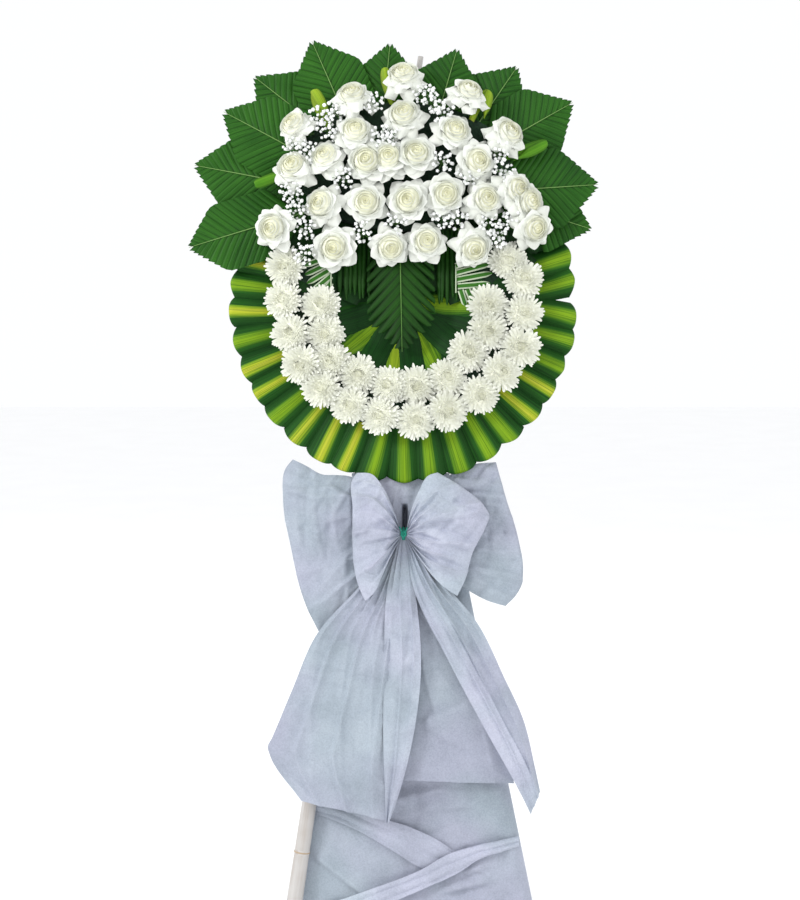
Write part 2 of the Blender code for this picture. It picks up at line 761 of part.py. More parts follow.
class Cell:
    """The room that one flower may fill, bounded halfway to its neighbours in other nodes."""

    def __init__(self, centre, size, owner):
        self.centre, self.size, self.owner = Vector(centre), size, owner
        self.walls = []

    def bound(self, others):
        for other in others:
            if other.owner == self.owner:
                continue
            between = other.centre - self.centre
            distance = between.length
            if distance > 2.6 * (self.size + other.size):
                continue
            share = self.size / (self.size + other.size)
            self.walls.append((between / distance, distance * share - 0.4))

    def clamp(self, bm):
        """Pull each point toward the centre until it lies inside every wall."""
        for vert in bm.verts:
            ray = vert.co - self.centre
            shrink = 1.0
            for normal, limit in self.walls:
                reach = ray.dot(normal)
                if reach > limit:
                    shrink = min(shrink, limit / reach)
            vert.co = self.centre + ray * shrink
        return bm


def rose_base(x, y):
    """Rose heads stand higher toward the middle of the foam."""
    px = (x - DOME_CENTRE[0]) / (DOME_HALF_WIDTH * 1.3)
    py = (y - DOME_CENTRE[1]) / (DOME_HALF_HEIGHT * 1.4)
    return ROSE_BASE + ROSE_DOME * max(0.0, 1.0 - px * px - py * py)


def floret(at, rng):
    """One small double pointed bloom of gypsophila."""
    bm = bmesh.new()
    bmesh.ops.create_uvsphere(bm, u_segments=4, v_segments=2, radius=6.5)
    turn = Matrix.Rotation(rng.uniform(0.2, 1.4), 3, (1.0, 0.4, 0.7))
    bmesh.ops.rotate(bm, matrix=turn, verts=bm.verts)
    bmesh.ops.translate(bm, vec=at, verts=bm.verts)
    return bm


def bunch_stem(bunch):
    """Where a bunch's stem stands: under its first rose, or the nearest place in the foam."""
    x, y = bunch[0]
    depth = dome_depth(Vector((x, y)))
    share = min(1.0, 0.92 / depth)
    return (DOME_CENTRE[0] + (x - DOME_CENTRE[0]) * share, DOME_CENTRE[1] + (y - DOME_CENTRE[1]) * share)


def build_roses(plane):
    rng = random.Random(7)
    cells = {}
    tufts = {}
    for owner, bunch in enumerate(ROSE_BUNCHES):
        for x, y in bunch:
            base = rose_base(x, y)
            cells[(x, y)] = Cell((x, y, base + 12.0), ROSE_RADIUS, owner)
    for x, y in GYPSOPHILA:
        near = min(cells.values(), key=lambda cell: math.hypot(cell.centre.x - x, cell.centre.y - y))
        tufts[(x, y)] = Cell((x, y, near.centre.z + 8.0), 20.0, near.owner)
        tufts[(x, y)].stalk = near.centre.copy()
    everyone = list(cells.values()) + list(tufts.values())
    for cell in everyone:
        cell.bound(everyone)
    for owner, bunch in enumerate(ROSE_BUNCHES):
        shapes = []
        for x, y in bunch:
            base = rose_base(x, y)
            size = ROSE_RADIUS * rng.uniform(0.95, 1.08)
            head = spun_head((x, y), scaled(ROSE_PROFILE, size), 5, base, rng)
            shapes.append(cells[(x, y)].clamp(head))
        first = cells[bunch[0]].centre
        for place in bunch[1:]:
            shapes.append(rod(first, cells[place].centre, 5.0, 4))
        for (x, y), cell in tufts.items():
            if cell.owner != owner:
                continue
            shapes.append(rod(cell.stalk, cell.centre, 2.5, 4))
            for i in range(4):
                a = math.tau * i / 3 + rng.uniform(-0.4, 0.4)
                spread = 8.0 if i else 0.0
                at = cell.centre + Vector((spread * math.cos(a), spread * math.sin(a), rng.uniform(-1, 5)))
                shapes.append(cell.clamp(floret(at, rng)))
        x, y = bunch_stem(bunch)
        top = Vector((x, y, DOME_THICK + 9.0))
        shapes.append(rod((x, y, DOME_THICK - STEM_DEPTH), top + Vector((0, 0, 2)), STEM_RADIUS, 5))
        shapes.append(rod(top, first, 4.0, 4))
        item = fuse(shapes)
        finish(item, f"rose_bunch_{owner + 1:02d}", (CREAM, 0.6), plane)


def build_mums(plane):
    rng = random.Random(11)
    cells = {}
    for owner, group in enumerate(MUM_GROUPS):
        for x, y in group:
            cells[(x, y)] = Cell((x, y, MUM_BASE + 10.0), MUM_RADIUS, owner)
    for cell in cells.values():
        cell.bound(cells.values())
    for owner, group in enumerate(MUM_GROUPS):
        shapes = []
        for x, y in group:
            size = MUM_RADIUS * rng.uniform(0.98, 1.08)
            head = spun_head((x, y), scaled(MUM_PROFILE, size), 7, MUM_BASE, rng)
            shapes.append(cells[(x, y)].clamp(head))
        first = cells[group[0]].centre
        for place in group[1:]:
            shapes.append(rod(first, cells[place].centre, 5.0, 4))
        x, y = group[0]
        shapes.append(rod((x, y, RING_THICK - STEM_DEPTH), (x, y, first.z), STEM_RADIUS, 5))
        item = fuse(shapes)
        finish(item, f"chrysanthemum_group_{owner + 1}", (WHITE, 0.7), plane)


# Cloth


def bow_tie_loop(rail, grow):
    """Green string round the bow's waist and the cross rail."""
    start, end = rail
    share = (KNOT[0] - start[0]) / (end[0] - start[0])
    rail_z = start[2] + (end[2] - start[2]) * share
    wire = 3.0
    back, front = rail_z - RAIL_RADIUS - GAP, 21.0
    half = WAIST_HALF + 2 * CLOTH_GAP
    bm = bmesh.new()
    x0, x1 = KNOT[0] - wire / 2 - grow, KNOT[0] + wire / 2 + grow
    lines = []
    for out in (-grow, wire + grow):
        lines.append([(KNOT[1] - half - out, back - out), (KNOT[1] + half + out, back - out),
                      (KNOT[1] + half + out, front + out), (KNOT[1] - half - out, front + out)])
    inner, outer = lines
    rings = [[bm.verts.new((x, y, z)) for y, z in line]
             for line, x in ((inner, x0), (outer, x0), (outer, x1), (inner, x1))]
    for a, b in zip(rings, rings[1:] + rings[:1]):
        for i in range(4):
            j = (i + 1) % 4
            bm.faces.new((a[i], a[j], b[j], b[i]))
    return bm


def bow_body(sections):
    """A puffed bow through upright sections: x, top, bottom, back, front."""
    rings = []
    for x, top, bottom, back, front in sections:
        high, deep = (top - bottom) * 0.22, (front - back) * 0.3
        rings.append([(x, bottom, back + deep), (x, bottom + high, back), (x, top - high, back),
                      (x, top, back + deep), (x, top, front - deep), (x, top - high, front),
                      (x, bottom + high, front), (x, bottom, front - deep)])
    return loft(rings)


WAIST_TOP, WAIST_BOTTOM = KNOT[1] + WAIST_HALF, KNOT[1] - WAIST_HALF
BACK_BOW = [
    (-250, -385, -490, -24, -10), (-232, -345, -610, -26, -4), (-180, -352, -680, -26, -3),
    (-105, -392, -600, -24, -3), (-40, -440, -535, -18, -3), (-8, WAIST_TOP, WAIST_BOTTOM, -12, -2),
    (8, WAIST_TOP, WAIST_BOTTOM, -12, -2), (50, -430, -545, -18, -3), (130, -378, -610, -24, -3),
    (205, -380, -640, -26, -4), (246, -470, -600, -24, -10),
]
FRONT_BOW = [
    (-106, -385, -600, 16, 34), (-62, -376, -590, 9, 48), (-26, -420, -545, 9, 32),
    (-8, WAIST_TOP, WAIST_BOTTOM, 9, 20), (8, WAIST_TOP, WAIST_BOTTOM, 9, 20),
    (30, -405, -545, 9, 32), (82, -380, -590, 9, 50), (176, -440, -585, 16, 34),
]
TAILS = [
    (-1, WAIST_TOP, -8, 8), (-1, WAIST_BOTTOM, -10, 10), (-1, -560, -60, 50),
    (-1, -690, -180, 150), (-1, -840, -245, 228), (-1, -925, -281, 262),
    (-1, -1000, -235, 272), (-1, -1040, -150, 262),
]


def build_cloth(plane, rail, left, right):
    finish(temp_object(bow_tie_loop(rail, 0.0)), "bow_string", (STRING, 0.6), plane)
    for name, sections in (("bow_back", BACK_BOW), ("bow_front", FRONT_BOW)):
        item = temp_object(bow_body(sections))
        carve(item, [bow_tie_loop(rail, GAP)])
        finish(item, name, (CLOTH, 0.8), plane, 50.0)
    rings = [[(a, y, z), (b, y, z), (b, y, z + 10.0), (a, y, z + 10.0)] for z, y, a, b in TAILS]
    item = temp_object(loft(rings))
    carve(item, [bow_tie_loop(rail, GAP)])
    finish(item, "bow_tails", (CLOTH, 0.8), plane)
    build_wrap(plane, left, right)


WRAP_TOP, WRAP_BOTTOM, WRAP_ROWS = -545.0, -1285.0, 3
WRAP_THICK = 4.0


def build_wrap(plane, left, right):
    """Cloth that passes behind the left pole and round the front and side of the right one."""
    top, faces, bottom = [], [], []
    half = WRAP_THICK / 2
    clear = half + GAP + 0.2
    for row in range(WRAP_ROWS + 1):
        y = WRAP_TOP + (WRAP_BOTTOM - WRAP_TOP) * row / WRAP_ROWS
        a, ra = left.point(y), left.radius(y) * CULM_RING
        b, rb = right.point(y), right.radius(y) * CULM_RING
        line = [
            (a.x - ra * 0.8, a.z - ra - clear, 0.0, -1.0),
            (a.x + ra + 6.0, a.z - ra - clear, 0.3, -1.0),
            (b.x - rb - 4.0, b.z + rb + clear, -0.3, 1.0),
            (b.x + rb * 0.6, b.z + rb + clear, 0.4, 1.0),
            (b.x + rb + clear + 8.0, b.z + 2.0, 1.0, 0.2),
            (b.x + rb * 0.6, b.z - rb - clear, 0.5, -1.0),
        ]
        for i, (x, z, _, _) in enumerate(line):
            before, after = line[max(i - 1, 0)], line[min(i + 1, len(line) - 1)]
            way = Vector((after[0] - before[0], after[1] - before[1])).normalized()
            normal = Vector((-way.y, way.x)) * half
            top.append((x + normal.x, y, z + normal.y))
            bottom.append((x - normal.x, y, z - normal.y))
    width = 6
    for row in range(WRAP_ROWS):
        for i in range(width - 1):
            a = row * width + i
            faces.append([a, a + width, a + width + 1, a + 1])
    finish(temp_object(blade(top, bottom, faces)), "leg_wrap", (CLOTH, 0.8), plane)


def main():
    clear_scene()
    plane = make_plane()
    left, right, rear = make_poles()
    rail = build_stand(plane, left, right, rear)
    build_board(plane, left, right)
    build_ring_foam(plane)
    build_ruffle(plane)
    build_centre_leaves(plane)
    frond_holes = build_fronds(plane)
    accent_holes = build_accents(plane)
    build_rose_foam(plane, frond_holes + accent_holes)
    build_roses(plane)
    build_mums(plane)
    build_cloth(plane, rail, left, right)


main()
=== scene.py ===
"""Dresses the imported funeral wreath: petals, leaflets, folded leaves, bamboo and cloth.

Sizes inside the builders are in millimetres on the wreath's own layout: x to the right, y up the
wreath, z toward the viewer. LAYOUT turns that into the frame's metres. The poles, the rail and the
lashings take their places straight from the frame and are built in its metres.
"""

import math

import bpy
import numpy as np
from mathutils import Matrix, Vector


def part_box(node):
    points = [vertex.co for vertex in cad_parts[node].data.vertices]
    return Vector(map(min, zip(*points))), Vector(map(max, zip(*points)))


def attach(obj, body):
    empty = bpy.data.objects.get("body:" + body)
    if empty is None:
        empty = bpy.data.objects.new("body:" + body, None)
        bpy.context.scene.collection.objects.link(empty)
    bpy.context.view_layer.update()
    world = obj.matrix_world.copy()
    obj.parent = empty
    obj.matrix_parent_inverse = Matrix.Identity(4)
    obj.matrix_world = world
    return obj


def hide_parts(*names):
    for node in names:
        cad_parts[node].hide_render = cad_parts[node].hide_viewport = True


bl_info = {
    "name": "Funeral Wreath",
    "version": (1, 0, 0),
    "blender": (4, 5, 0),
    "location": "3D View > Sidebar > Wreath",
    "description": "Dresses a standing funeral wreath on its packed frame",
    "category": "Object",
}

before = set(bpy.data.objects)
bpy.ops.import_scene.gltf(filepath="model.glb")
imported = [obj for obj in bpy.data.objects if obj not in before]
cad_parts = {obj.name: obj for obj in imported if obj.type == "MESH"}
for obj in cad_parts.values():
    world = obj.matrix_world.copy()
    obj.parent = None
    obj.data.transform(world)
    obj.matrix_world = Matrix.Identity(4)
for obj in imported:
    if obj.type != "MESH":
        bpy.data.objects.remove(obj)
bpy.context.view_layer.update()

# The layout starts at the middle of the board's front face, which leans back.
MM = 0.001
LEAN = math.radians(9.0)
BOARD_HALF_THICK = 0.015
board_low, board_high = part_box("foam_board")
TURN = Matrix.Rotation(math.pi / 2 - LEAN, 4, "X")
BOARD_FRONT = (board_low + board_high) / 2 + TURN.to_3x3() @ Vector((0, 0, BOARD_HALF_THICK))
LAYOUT = Matrix.Translation(BOARD_FRONT) @ TURN


# Mesh building


def link(item):
    bpy.context.scene.collection.objects.link(item)
    return item


def grid_faces(rows, columns, closed=False):
    """The corners of each face of a patch; closed joins its last column to its first."""
    index = np.arange(rows * columns).reshape(rows, columns)
    if closed:
        index = np.concatenate([index, index[:, :1]], axis=1)
    corners = (index[:-1, :-1], index[:-1, 1:], index[1:, 1:], index[1:, :-1])
    return np.stack(corners, axis=-1).reshape(-1, 4)


def stacked(x, y, z):
    """Points from their coordinates, each of which may be one number, a row or a column."""
    return np.stack(np.broadcast_arrays(x, y, z), axis=-1)


class Surface:
    """Collects patches of points and turns them into one mesh piece.

    Its materials read three values at each point: along, from the root to the tip; across, over
    the width or round a tube; and tint, one for each leaf, petal or panel.
    """

    def __init__(self):
        self.points, self.faces = [], []
        self.values = {"along": [], "across": [], "tint": []}
        self.count = 0

    def grid(self, points, along, across, tint=0.5, closed=False):
        """A patch of rows by columns; closed joins its last column to its first."""
        rows, columns = points.shape[:2]
        self.points.append(points.reshape(-1, 3))
        self.faces.append(grid_faces(rows, columns, closed) + self.count)
        for name, value in (("along", along), ("across", across), ("tint", tint)):
            self.values[name].append(np.broadcast_to(value, (rows, columns)).ravel())
        self.count += rows * columns

    def tube(self, line, radius, sides=6, tint=0.5):
        """A round rod along a line of points, open at its ends unless the radius goes to nothing."""
        line = np.asarray(line, float)
        radius = np.broadcast_to(np.asarray(radius, float), len(line))
        way = np.gradient(line, axis=0)
        way /= np.linalg.norm(way, axis=1, keepdims=True)
        aside = np.cross(way, (0.31, 0.17, 0.93))
        aside /= np.linalg.norm(aside, axis=1, keepdims=True)
        other = np.cross(way, aside)
        turn = np.linspace(0.0, math.tau, sides, endpoint=False)
        ring = aside[:, None] * np.cos(turn)[None, :, None] + other[:, None] * np.sin(turn)[None, :, None]
        points = line[:, None] + ring * radius[:, None, None]
        along = np.linspace(0.0, 1.0, len(line))[:, None]
        self.grid(points, along, turn / math.tau, tint, closed=True)

    def build(self, name, material, slot, replaced=(), world=False):
        """Makes the piece; world says that its points are in the frame's metres already."""
        points = np.concatenate(self.points)
        if not world:
            layout = np.array(LAYOUT)
            points = (points * MM) @ layout[:3, :3].T + layout[:3, 3]
        mesh = bpy.data.meshes.new(name)
        mesh.from_pydata(points.tolist(), [], np.concatenate(self.faces).tolist())
        for key, parts in self.values.items():
            layer = mesh.attributes.new(key, "FLOAT", "POINT")
            layer.data.foreach_set("value", np.concatenate(parts).astype(np.float32))
        mesh.validate()
        mesh.shade_smooth()
        mesh.materials.append(material)
        item = link(bpy.data.objects.new(name, mesh))
        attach(item, "root")
        if replaced:
            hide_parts(*replaced)
        return item


def smoothstep(low, high, value):
    share = np.clip((value - low) / (high - low), 0.0, 1.0)
    return share * share * (3.0 - 2.0 * share)


def along_line(points, shares):
    """Points of a smooth line through a few given ones, at shares of its length."""
    points = np.asarray(points, float)
    steps = np.concatenate([[0.0], np.cumsum(np.linalg.norm(np.diff(points, axis=0), axis=1))])
    steps /= steps[-1]
    tangent = np.gradient(points, steps, axis=0)
    at = np.clip(np.searchsorted(steps, shares, side="right") - 1, 0, len(points) - 2)
    span = (steps[at + 1] - steps[at])[:, None]
    t = (shares - steps[at])[:, None] / span
    a, b = points[at], points[at + 1]
    ta, tb = tangent[at] * span, tangent[at + 1] * span
    return (a * (2 * t**3 - 3 * t**2 + 1) + ta * (t**3 - 2 * t**2 + t)
            + b * (3 * t**2 - 2 * t**3) + tb * (t**3 - t**2))


def between(first, second, share):
    """Rows of points that run from one line to another."""
    return first[:, None] * (1 - share)[None, :, None] + second[:, None] * share[None, :, None]


def placed(points, centre, tilt, turn):
    """Turns a flower's own points and stands it at its place on the wreath."""
    tilt_x, tilt_y = tilt
    move = (Matrix.Translation(centre) @ Matrix.Rotation(tilt_y, 4, "Y") @ Matrix.Rotation(tilt_x, 4, "X")
            @ Matrix.Rotation(turn, 4, "Z"))
    grid = np.array(move)
    return points @ grid[:3, :3].T + grid[:3, 3]


# Materials

BLACK, WHITE = (0, 0, 0), (1, 1, 1)


def new_material(name, roughness=0.6):
    material = bpy.data.materials.new(name)
    material.use_nodes = True
    tree = material.node_tree
    shader = tree.nodes["Principled BSDF"]
    shader.inputs["Roughness"].default_value = roughness
    return material, tree, shader


def node(tree, kind, **values):
    made = tree.nodes.new(kind)
    for key, value in values.items():
        setattr(made, key, value)
    return made


def attribute(tree, name):
    made = node(tree, "ShaderNodeAttribute", attribute_name=name)
    return made.outputs["Fac"]


def maths(tree, operation, first, second=0.0):
    made = node(tree, "ShaderNodeMath", operation=operation)
    for socket, value in zip(made.inputs, (first, second)):
        if isinstance(value, (int, float)):
            socket.default_value = value
        else:
            tree.links.new(value, socket)
    return made.outputs[0]


def summed(tree, first, first_share, second, second_share):
    """Two values, each times its share, added up."""
    return maths(tree, "ADD", maths(tree, "MULTIPLY", first, first_share),
                 maths(tree, "MULTIPLY", second, second_share))


def ramp(tree, fac, stops):
    made = node(tree, "ShaderNodeValToRGB")
    elements = made.color_ramp.elements
    while len(elements) < len(stops):
        elements.new(0.5)
    for element, (position, colour) in zip(elements, stops):
        element.position = position
        element.color = (*colour, 1.0)
    tree.links.new(fac, made.inputs["Fac"])
    return made.outputs["Color"]


def mixed(tree, fac, first, second, blend="MIX"):
    """Two colours mixed: inputs 0, 6 and 7 of the node are its factor and its two colours."""
    made = node(tree, "ShaderNodeMix", data_type="RGBA", blend_type=blend)
    for socket, value in zip((made.inputs[0], made.inputs[6], made.inputs[7]), (fac, first, second)):
        if isinstance(value, (int, float)):
            socket.default_value = value
        elif isinstance(value, tuple):
            socket.default_value = (*value, 1.0)
        else:
            tree.links.new(value, socket)
    return made.outputs[2]


def multiplied(tree, first, second):
    return mixed(tree, 1.0, first, second, "MULTIPLY")


def stretched(tree, across=1.0, along=1.0, tint=7.0):
    """A texture vector that runs with the piece: across, along and a shift for each piece."""
    made = node(tree, "ShaderNodeCombineXYZ")
    for socket, name, size in zip(made.inputs, ("across", "along", "tint"), (across, along, tint)):
        tree.links.new(maths(tree, "MULTIPLY", attribute(tree, name), size), socket)
    return made.outputs[0]


def noise(tree, scale, vector=None, detail=3.0, rough=0.5):
    made = node(tree, "ShaderNodeTexNoise")
    made.inputs["Scale"].default_value = scale
    made.inputs["Detail"].default_value = detail
    made.inputs["Roughness"].default_value = rough
    if vector is None:
        vector = node(tree, "ShaderNodeTexCoord").outputs["Object"]
    tree.links.new(vector, made.inputs["Vector"])
    return made.outputs["Fac"]


def bumped(tree, shader, height, strength, distance):
    made = node(tree, "ShaderNodeBump")
    made.inputs["Strength"].default_value = strength
    made.inputs["Distance"].default_value = distance
    tree.links.new(height, made.inputs["Height"])
    tree.links.new(made.outputs["Normal"], shader.inputs["Normal"])


def coloured(tree, shader, colour):
    tree.links.new(colour, shader.inputs["Base Color"])


def petal_material(name, white, cream, heart, soft):
    """Petals: cream toward the base and the middle of the bloom, fine veins along each petal."""
    material, tree, shader = new_material(name, 0.6)
    shader.inputs["Specular IOR Level"].default_value = 0.3
    shader.inputs["Sheen Weight"].default_value = 0.2
    base = ramp(tree, attribute(tree, "along"), [(0.0, heart), (soft, cream), (1.0, white)])
    vein = noise(tree, 1.0, stretched(tree, 16.0, 2.0, 31.0), 2.0)
    shade = ramp(tree, vein, [(0.3, (0.95, 0.95, 0.94)), (0.7, WHITE)])
    coloured(tree, shader, multiplied(tree, base, shade))
    bumped(tree, shader, vein, 0.25, 0.0008)
    return material


def striped_leaf_material():
    """Dracaena: a yellow-green band down the middle, streaked, with dark green sides."""
    material, tree, shader = new_material("striped_leaf", 0.6)
    shader.inputs["Specular IOR Level"].default_value = 0.16
    streak = noise(tree, 1.0, stretched(tree, 13.0, 0.7, 23.0), 3.0)
    side = maths(tree, "ABSOLUTE", attribute(tree, "across"))
    for value, share in ((streak, 0.34), (attribute(tree, "tint"), 0.16)):
        shift = maths(tree, "MULTIPLY", maths(tree, "SUBTRACT", value, 0.5), share)
        side = maths(tree, "ADD", side, shift)
    green = ramp(tree, side, [
        (0.0, (0.18, 0.32, 0.008)), (0.22, (0.14, 0.28, 0.008)), (0.34, (0.07, 0.19, 0.007)),
        (0.46, (0.013, 0.085, 0.006)), (1.0, (0.004, 0.042, 0.004)),
    ])
    yellow = ramp(tree, side, [
        (0.0, (0.50, 0.49, 0.045)), (0.20, (0.36, 0.42, 0.02)), (0.38, (0.14, 0.28, 0.012)),
        (0.46, (0.014, 0.09, 0.007)), (1.0, (0.005, 0.048, 0.005)),
    ])
    warm = ramp(tree, attribute(tree, "tint"), [(0.55, BLACK), (0.75, WHITE)])
    base = mixed(tree, warm, green, yellow)
    fleck = noise(tree, 1.0, stretched(tree, 30.0, 0.8, 51.0), 2.0)
    shade = ramp(tree, fleck, [(0.38, (0.42, 0.55, 0.5)), (0.5, WHITE), (0.7, (1.15, 1.12, 1.1))])
    coloured(tree, shader, multiplied(tree, base, shade))
    bumped(tree, shader, fleck, 0.3, 0.0008)
    return material


def palm_material(name, dark, light, rib, edge=None):
    """Plain leaves: fine lines along each leaflet, paler toward the rib. Given an edge colour, the edges take
    it as a painted highlight; without one, painted shade darkens the edges and a painted highlight lightens
    the middle.
    """
    material, tree, shader = new_material(name, 0.48)
    shader.inputs["Specular IOR Level"].default_value = 0.14
    line = noise(tree, 1.0, stretched(tree, 9.0, 1.0, 41.0), 3.0)
    patch = noise(tree, 9.0, None, 2.0)
    base = ramp(tree, summed(tree, line, 0.65, patch, 0.4), [(0.3, dark), (0.75, light)])
    side = maths(tree, "ABSOLUTE", attribute(tree, "across"))
    # The pale edge colour is a painted highlight on the leaflets' sides.
    if edge:
        base = mixed(tree, ramp(tree, side, [(0.5, BLACK), (0.62, WHITE)]), base, edge)
    else:
        # Painted shade along each leaflet's edges, where the leaflets overlap, and a painted highlight down
        # its middle.
        shade = ramp(tree, side, [(0.0, (1.12, 1.12, 1.05)), (0.55, WHITE), (0.95, (0.45, 0.5, 0.45))])
        base = multiplied(tree, base, shade)
    near = ramp(tree, attribute(tree, "along"), [(0.0, WHITE), (0.045, BLACK)])
    coloured(tree, shader, mixed(tree, near, base, rib))
    bumped(tree, shader, line, 0.35, 0.001)
    return material


def bamboo_material():
    """Cream bamboo with long faint streaks and a browner line at each joint."""
    material, tree, shader = new_material("bamboo", 0.45)
    streak = noise(tree, 1.0, stretched(tree, 9.0, 5.0, 3.0), 4.0)
    patch = noise(tree, 14.0, None, 3.0)
    base = ramp(tree, summed(tree, streak, 0.6, patch, 0.4), [
        (0.3, (0.39, 0.34, 0.30)), (0.5, (0.51, 0.49, 0.47)), (0.72, (0.58, 0.56, 0.54)),
    ])
    ring = ramp(tree, attribute(tree, "tint"), [(0.5, BLACK), (0.95, WHITE)])
    coloured(tree, shader, mixed(tree, ring, base, (0.40, 0.29, 0.18)))
    bumped(tree, shader, streak, 0.25, 0.001)
    return material


def cloth_material():
    """Pressed white cloth: mottled fibres, a bluish cast and soft small creases; tint paints light and shade
    on it, lighter as tint rises.
    """
    material, tree, shader = new_material("pressed_cloth", 0.8)
    shader.inputs["Sheen Weight"].default_value = 0.12
    shader.inputs["Specular IOR Level"].default_value = 0.2
    cloud = noise(tree, 9.0, None, 5.0, 0.6)
    hue = noise(tree, 5.0, None, 2.0)
    fibre = noise(tree, 300.0, None, 4.0, 0.75)
    base = ramp(tree, cloud, [
        (0.32, (0.335, 0.37, 0.425)), (0.5, (0.39, 0.425, 0.49)), (0.68, (0.44, 0.475, 0.54)),
    ])
    cast = ramp(tree, hue, [(0.38, (0.95, 1.0, 0.99)), (0.62, (1.03, 0.99, 1.05))])
    # Painted light and shade: each piece's tint darkens pieces lying under or behind others and lightens lit
    # ones.
    painted_light_and_shade = ramp(tree, attribute(tree, "tint"), [(0.0, (0.86, 0.87, 0.87)), (1.0, (1.16, 1.15, 1.14))])
    speck = ramp(tree, fibre, [(0.38, (0.88, 0.88, 0.89)), (0.6, (1.05, 1.05, 1.05))])
    tone = multiplied(tree, multiplied(tree, base, painted_light_and_shade), cast)
    coloured(tree, shader, multiplied(tree, tone, speck))
    crease = noise(tree, 22.0, None, 6.0, 0.65)
    height = maths(tree, "ADD", crease, maths(tree, "MULTIPLY", fibre, 0.08))
    bumped(tree, shader, height, 0.55, 0.005)
    return material


def foam_material(name, dark, light, scale):
    material, tree, shader = new_material(name, 0.9)
    grain = noise(tree, scale, None, 4.0, 0.7)
    coloured(tree, shader, ramp(tree, grain, [(0.35, dark), (0.65, light)]))
    bumped(tree, shader, grain, 0.6, 0.002)
    return material


def cord_material(name, dark, light, scale=1.0):
    material, tree, shader = new_material(name, 0.85)
    twist = noise(tree, 1.0, stretched(tree, 4.0, 60.0 * scale, 11.0), 3.0)
    coloured(tree, shader, ramp(tree, twist, [(0.3, dark), (0.7, light)]))
    bumped(tree, shader, twist, 0.6, 0.001)
    return material


# Petals: name, colour at the tip, lower down and at the base, and where the second one lies.
PETALS = {
    "rose": ("rose_petal", (0.75, 0.77, 0.72), (0.81, 0.82, 0.71), (0.885, 0.87, 0.61), 0.50),
    "mum": ("chrysanthemum_petal", (0.90, 0.91, 0.84), (0.91, 0.915, 0.79), (0.90, 0.90, 0.52), 0.35),
    "floret": ("gypsophila_floret", (0.90, 0.91, 0.92), (0.88, 0.90, 0.86), (0.7, 0.76, 0.55), 0.3),
}

# Plain leaves: name, dark and light colour, colour toward the rib, and that of a pale edge, which is a
# painted highlight.
LEAVES = {
    "stem": ("flower_stem", (0.05, 0.14, 0.03), (0.12, 0.24, 0.07), (0.1, 0.2, 0.05)),
    "palm": ("palm_leaflet", (0.004, 0.038, 0.004), (0.034, 0.145, 0.012), (0.17, 0.31, 0.09)),
    # A darker copy of the palm leaflets: painted shade for the fronds in the middle of the wreath.
    "palm_shaded": ("inner_palm_leaflet", (0.002, 0.018, 0.002), (0.016, 0.078, 0.006), (0.10, 0.22, 0.05)),
    "leaf": ("broad_leaf", (0.003, 0.022, 0.004), (0.011, 0.06, 0.009), (0.02, 0.09, 0.02)),
    # Leaflets whose pale edges and pale rib are a painted highlight.
    "highlight_edged": (
        "white_edged_leaflet", (0.02, 0.11, 0.012), (0.05, 0.18, 0.02), (0.50, 0.58, 0.42),
        (0.50, 0.58, 0.42),
    ),
    "accent": ("yellow_green_leaf", (0.10, 0.24, 0.012), (0.36, 0.46, 0.03), (0.35, 0.42, 0.04)),
    "accent_green": ("fresh_green_leaf", (0.03, 0.14, 0.006), (0.11, 0.28, 0.015), (0.12, 0.28, 0.02)),
}

MATERIALS = {}


def make_materials():
    for key, finish in PETALS.items():
        MATERIALS[key] = petal_material(*finish)
    for key, finish in LEAVES.items():
        MATERIALS[key] = palm_material(*finish)
    MATERIALS["striped"] = striped_leaf_material()
    MATERIALS["bamboo"] = bamboo_material()
    MATERIALS["cloth"] = cloth_material()
    MATERIALS["foam"] = foam_material("flower_foam", (0.004, 0.018, 0.007), (0.010, 0.04, 0.016), 160.0)
    MATERIALS["styrene"] = foam_material("bead_board", (0.70, 0.70, 0.68), (0.82, 0.82, 0.80), 220.0)
    MATERIALS["cord"] = cord_material("jute_cord", (0.24, 0.17, 0.09), (0.55, 0.44, 0.28))
    MATERIALS["wire"] = cord_material("tie_wire", (0.20, 0.21, 0.21), (0.42, 0.43, 0.43), 0.3)
    MATERIALS["string"] = cord_material("green_string", (0.01, 0.20, 0.14), (0.03, 0.42, 0.30))


# Stand

# Tip radius of each pole, and the stations each side of a joint of the bamboo, in metres.
POLE_TIPS = {"pole_left": 0.006, "pole_right": 0.006, "pole_rear": 0.009}
JOINT_STATIONS = np.array((-9, -5, -2.5, -1, 0, 1, 2.5, 5, 9)) * 0.001

# The cross rail: its radius and how deep its ends are looked for, in metres, and its joint's share.
RAIL_RADIUS, RAIL_END, RAIL_JOINT = 0.0088, 0.01, 0.42

# Each lashing: half its width in metres, and half its depth as a share of the frame's block.
LASHINGS = {"lashing_left": (0.0125, 0.40), "lashing_right": (0.0125, 0.40), "lashing_top": (0.0135, 0.34)}

# Slant of the lashings' turns in radians, and how many run each way.
CROSSING, LASHING_TURNS = 0.78, 5

# The board's section from its axis out to the rim: radius, and height from its middle.
BOARD_SECTION = [
    (0.5, 15.0), (80.0, 15.0), (160.0, 15.0), (240.0, 15.0), (315.0, 15.0), (318.5, 14.0), (320.0, 11.0),
]


def pole_ends(name):
    """Foot and tip of a pole, from the frame's own mesh."""
    points = np.array([v.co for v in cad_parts[name].data.vertices])
    low, high = points[:, 2].min(), points[:, 2].max()
    foot = points[points[:, 2] < low + 0.001]
    tip = points[points[:, 2] > high - 0.02]
    return (foot.min(0) + foot.max(0)) / 2, (tip.min(0) + tip.max(0)) / 2


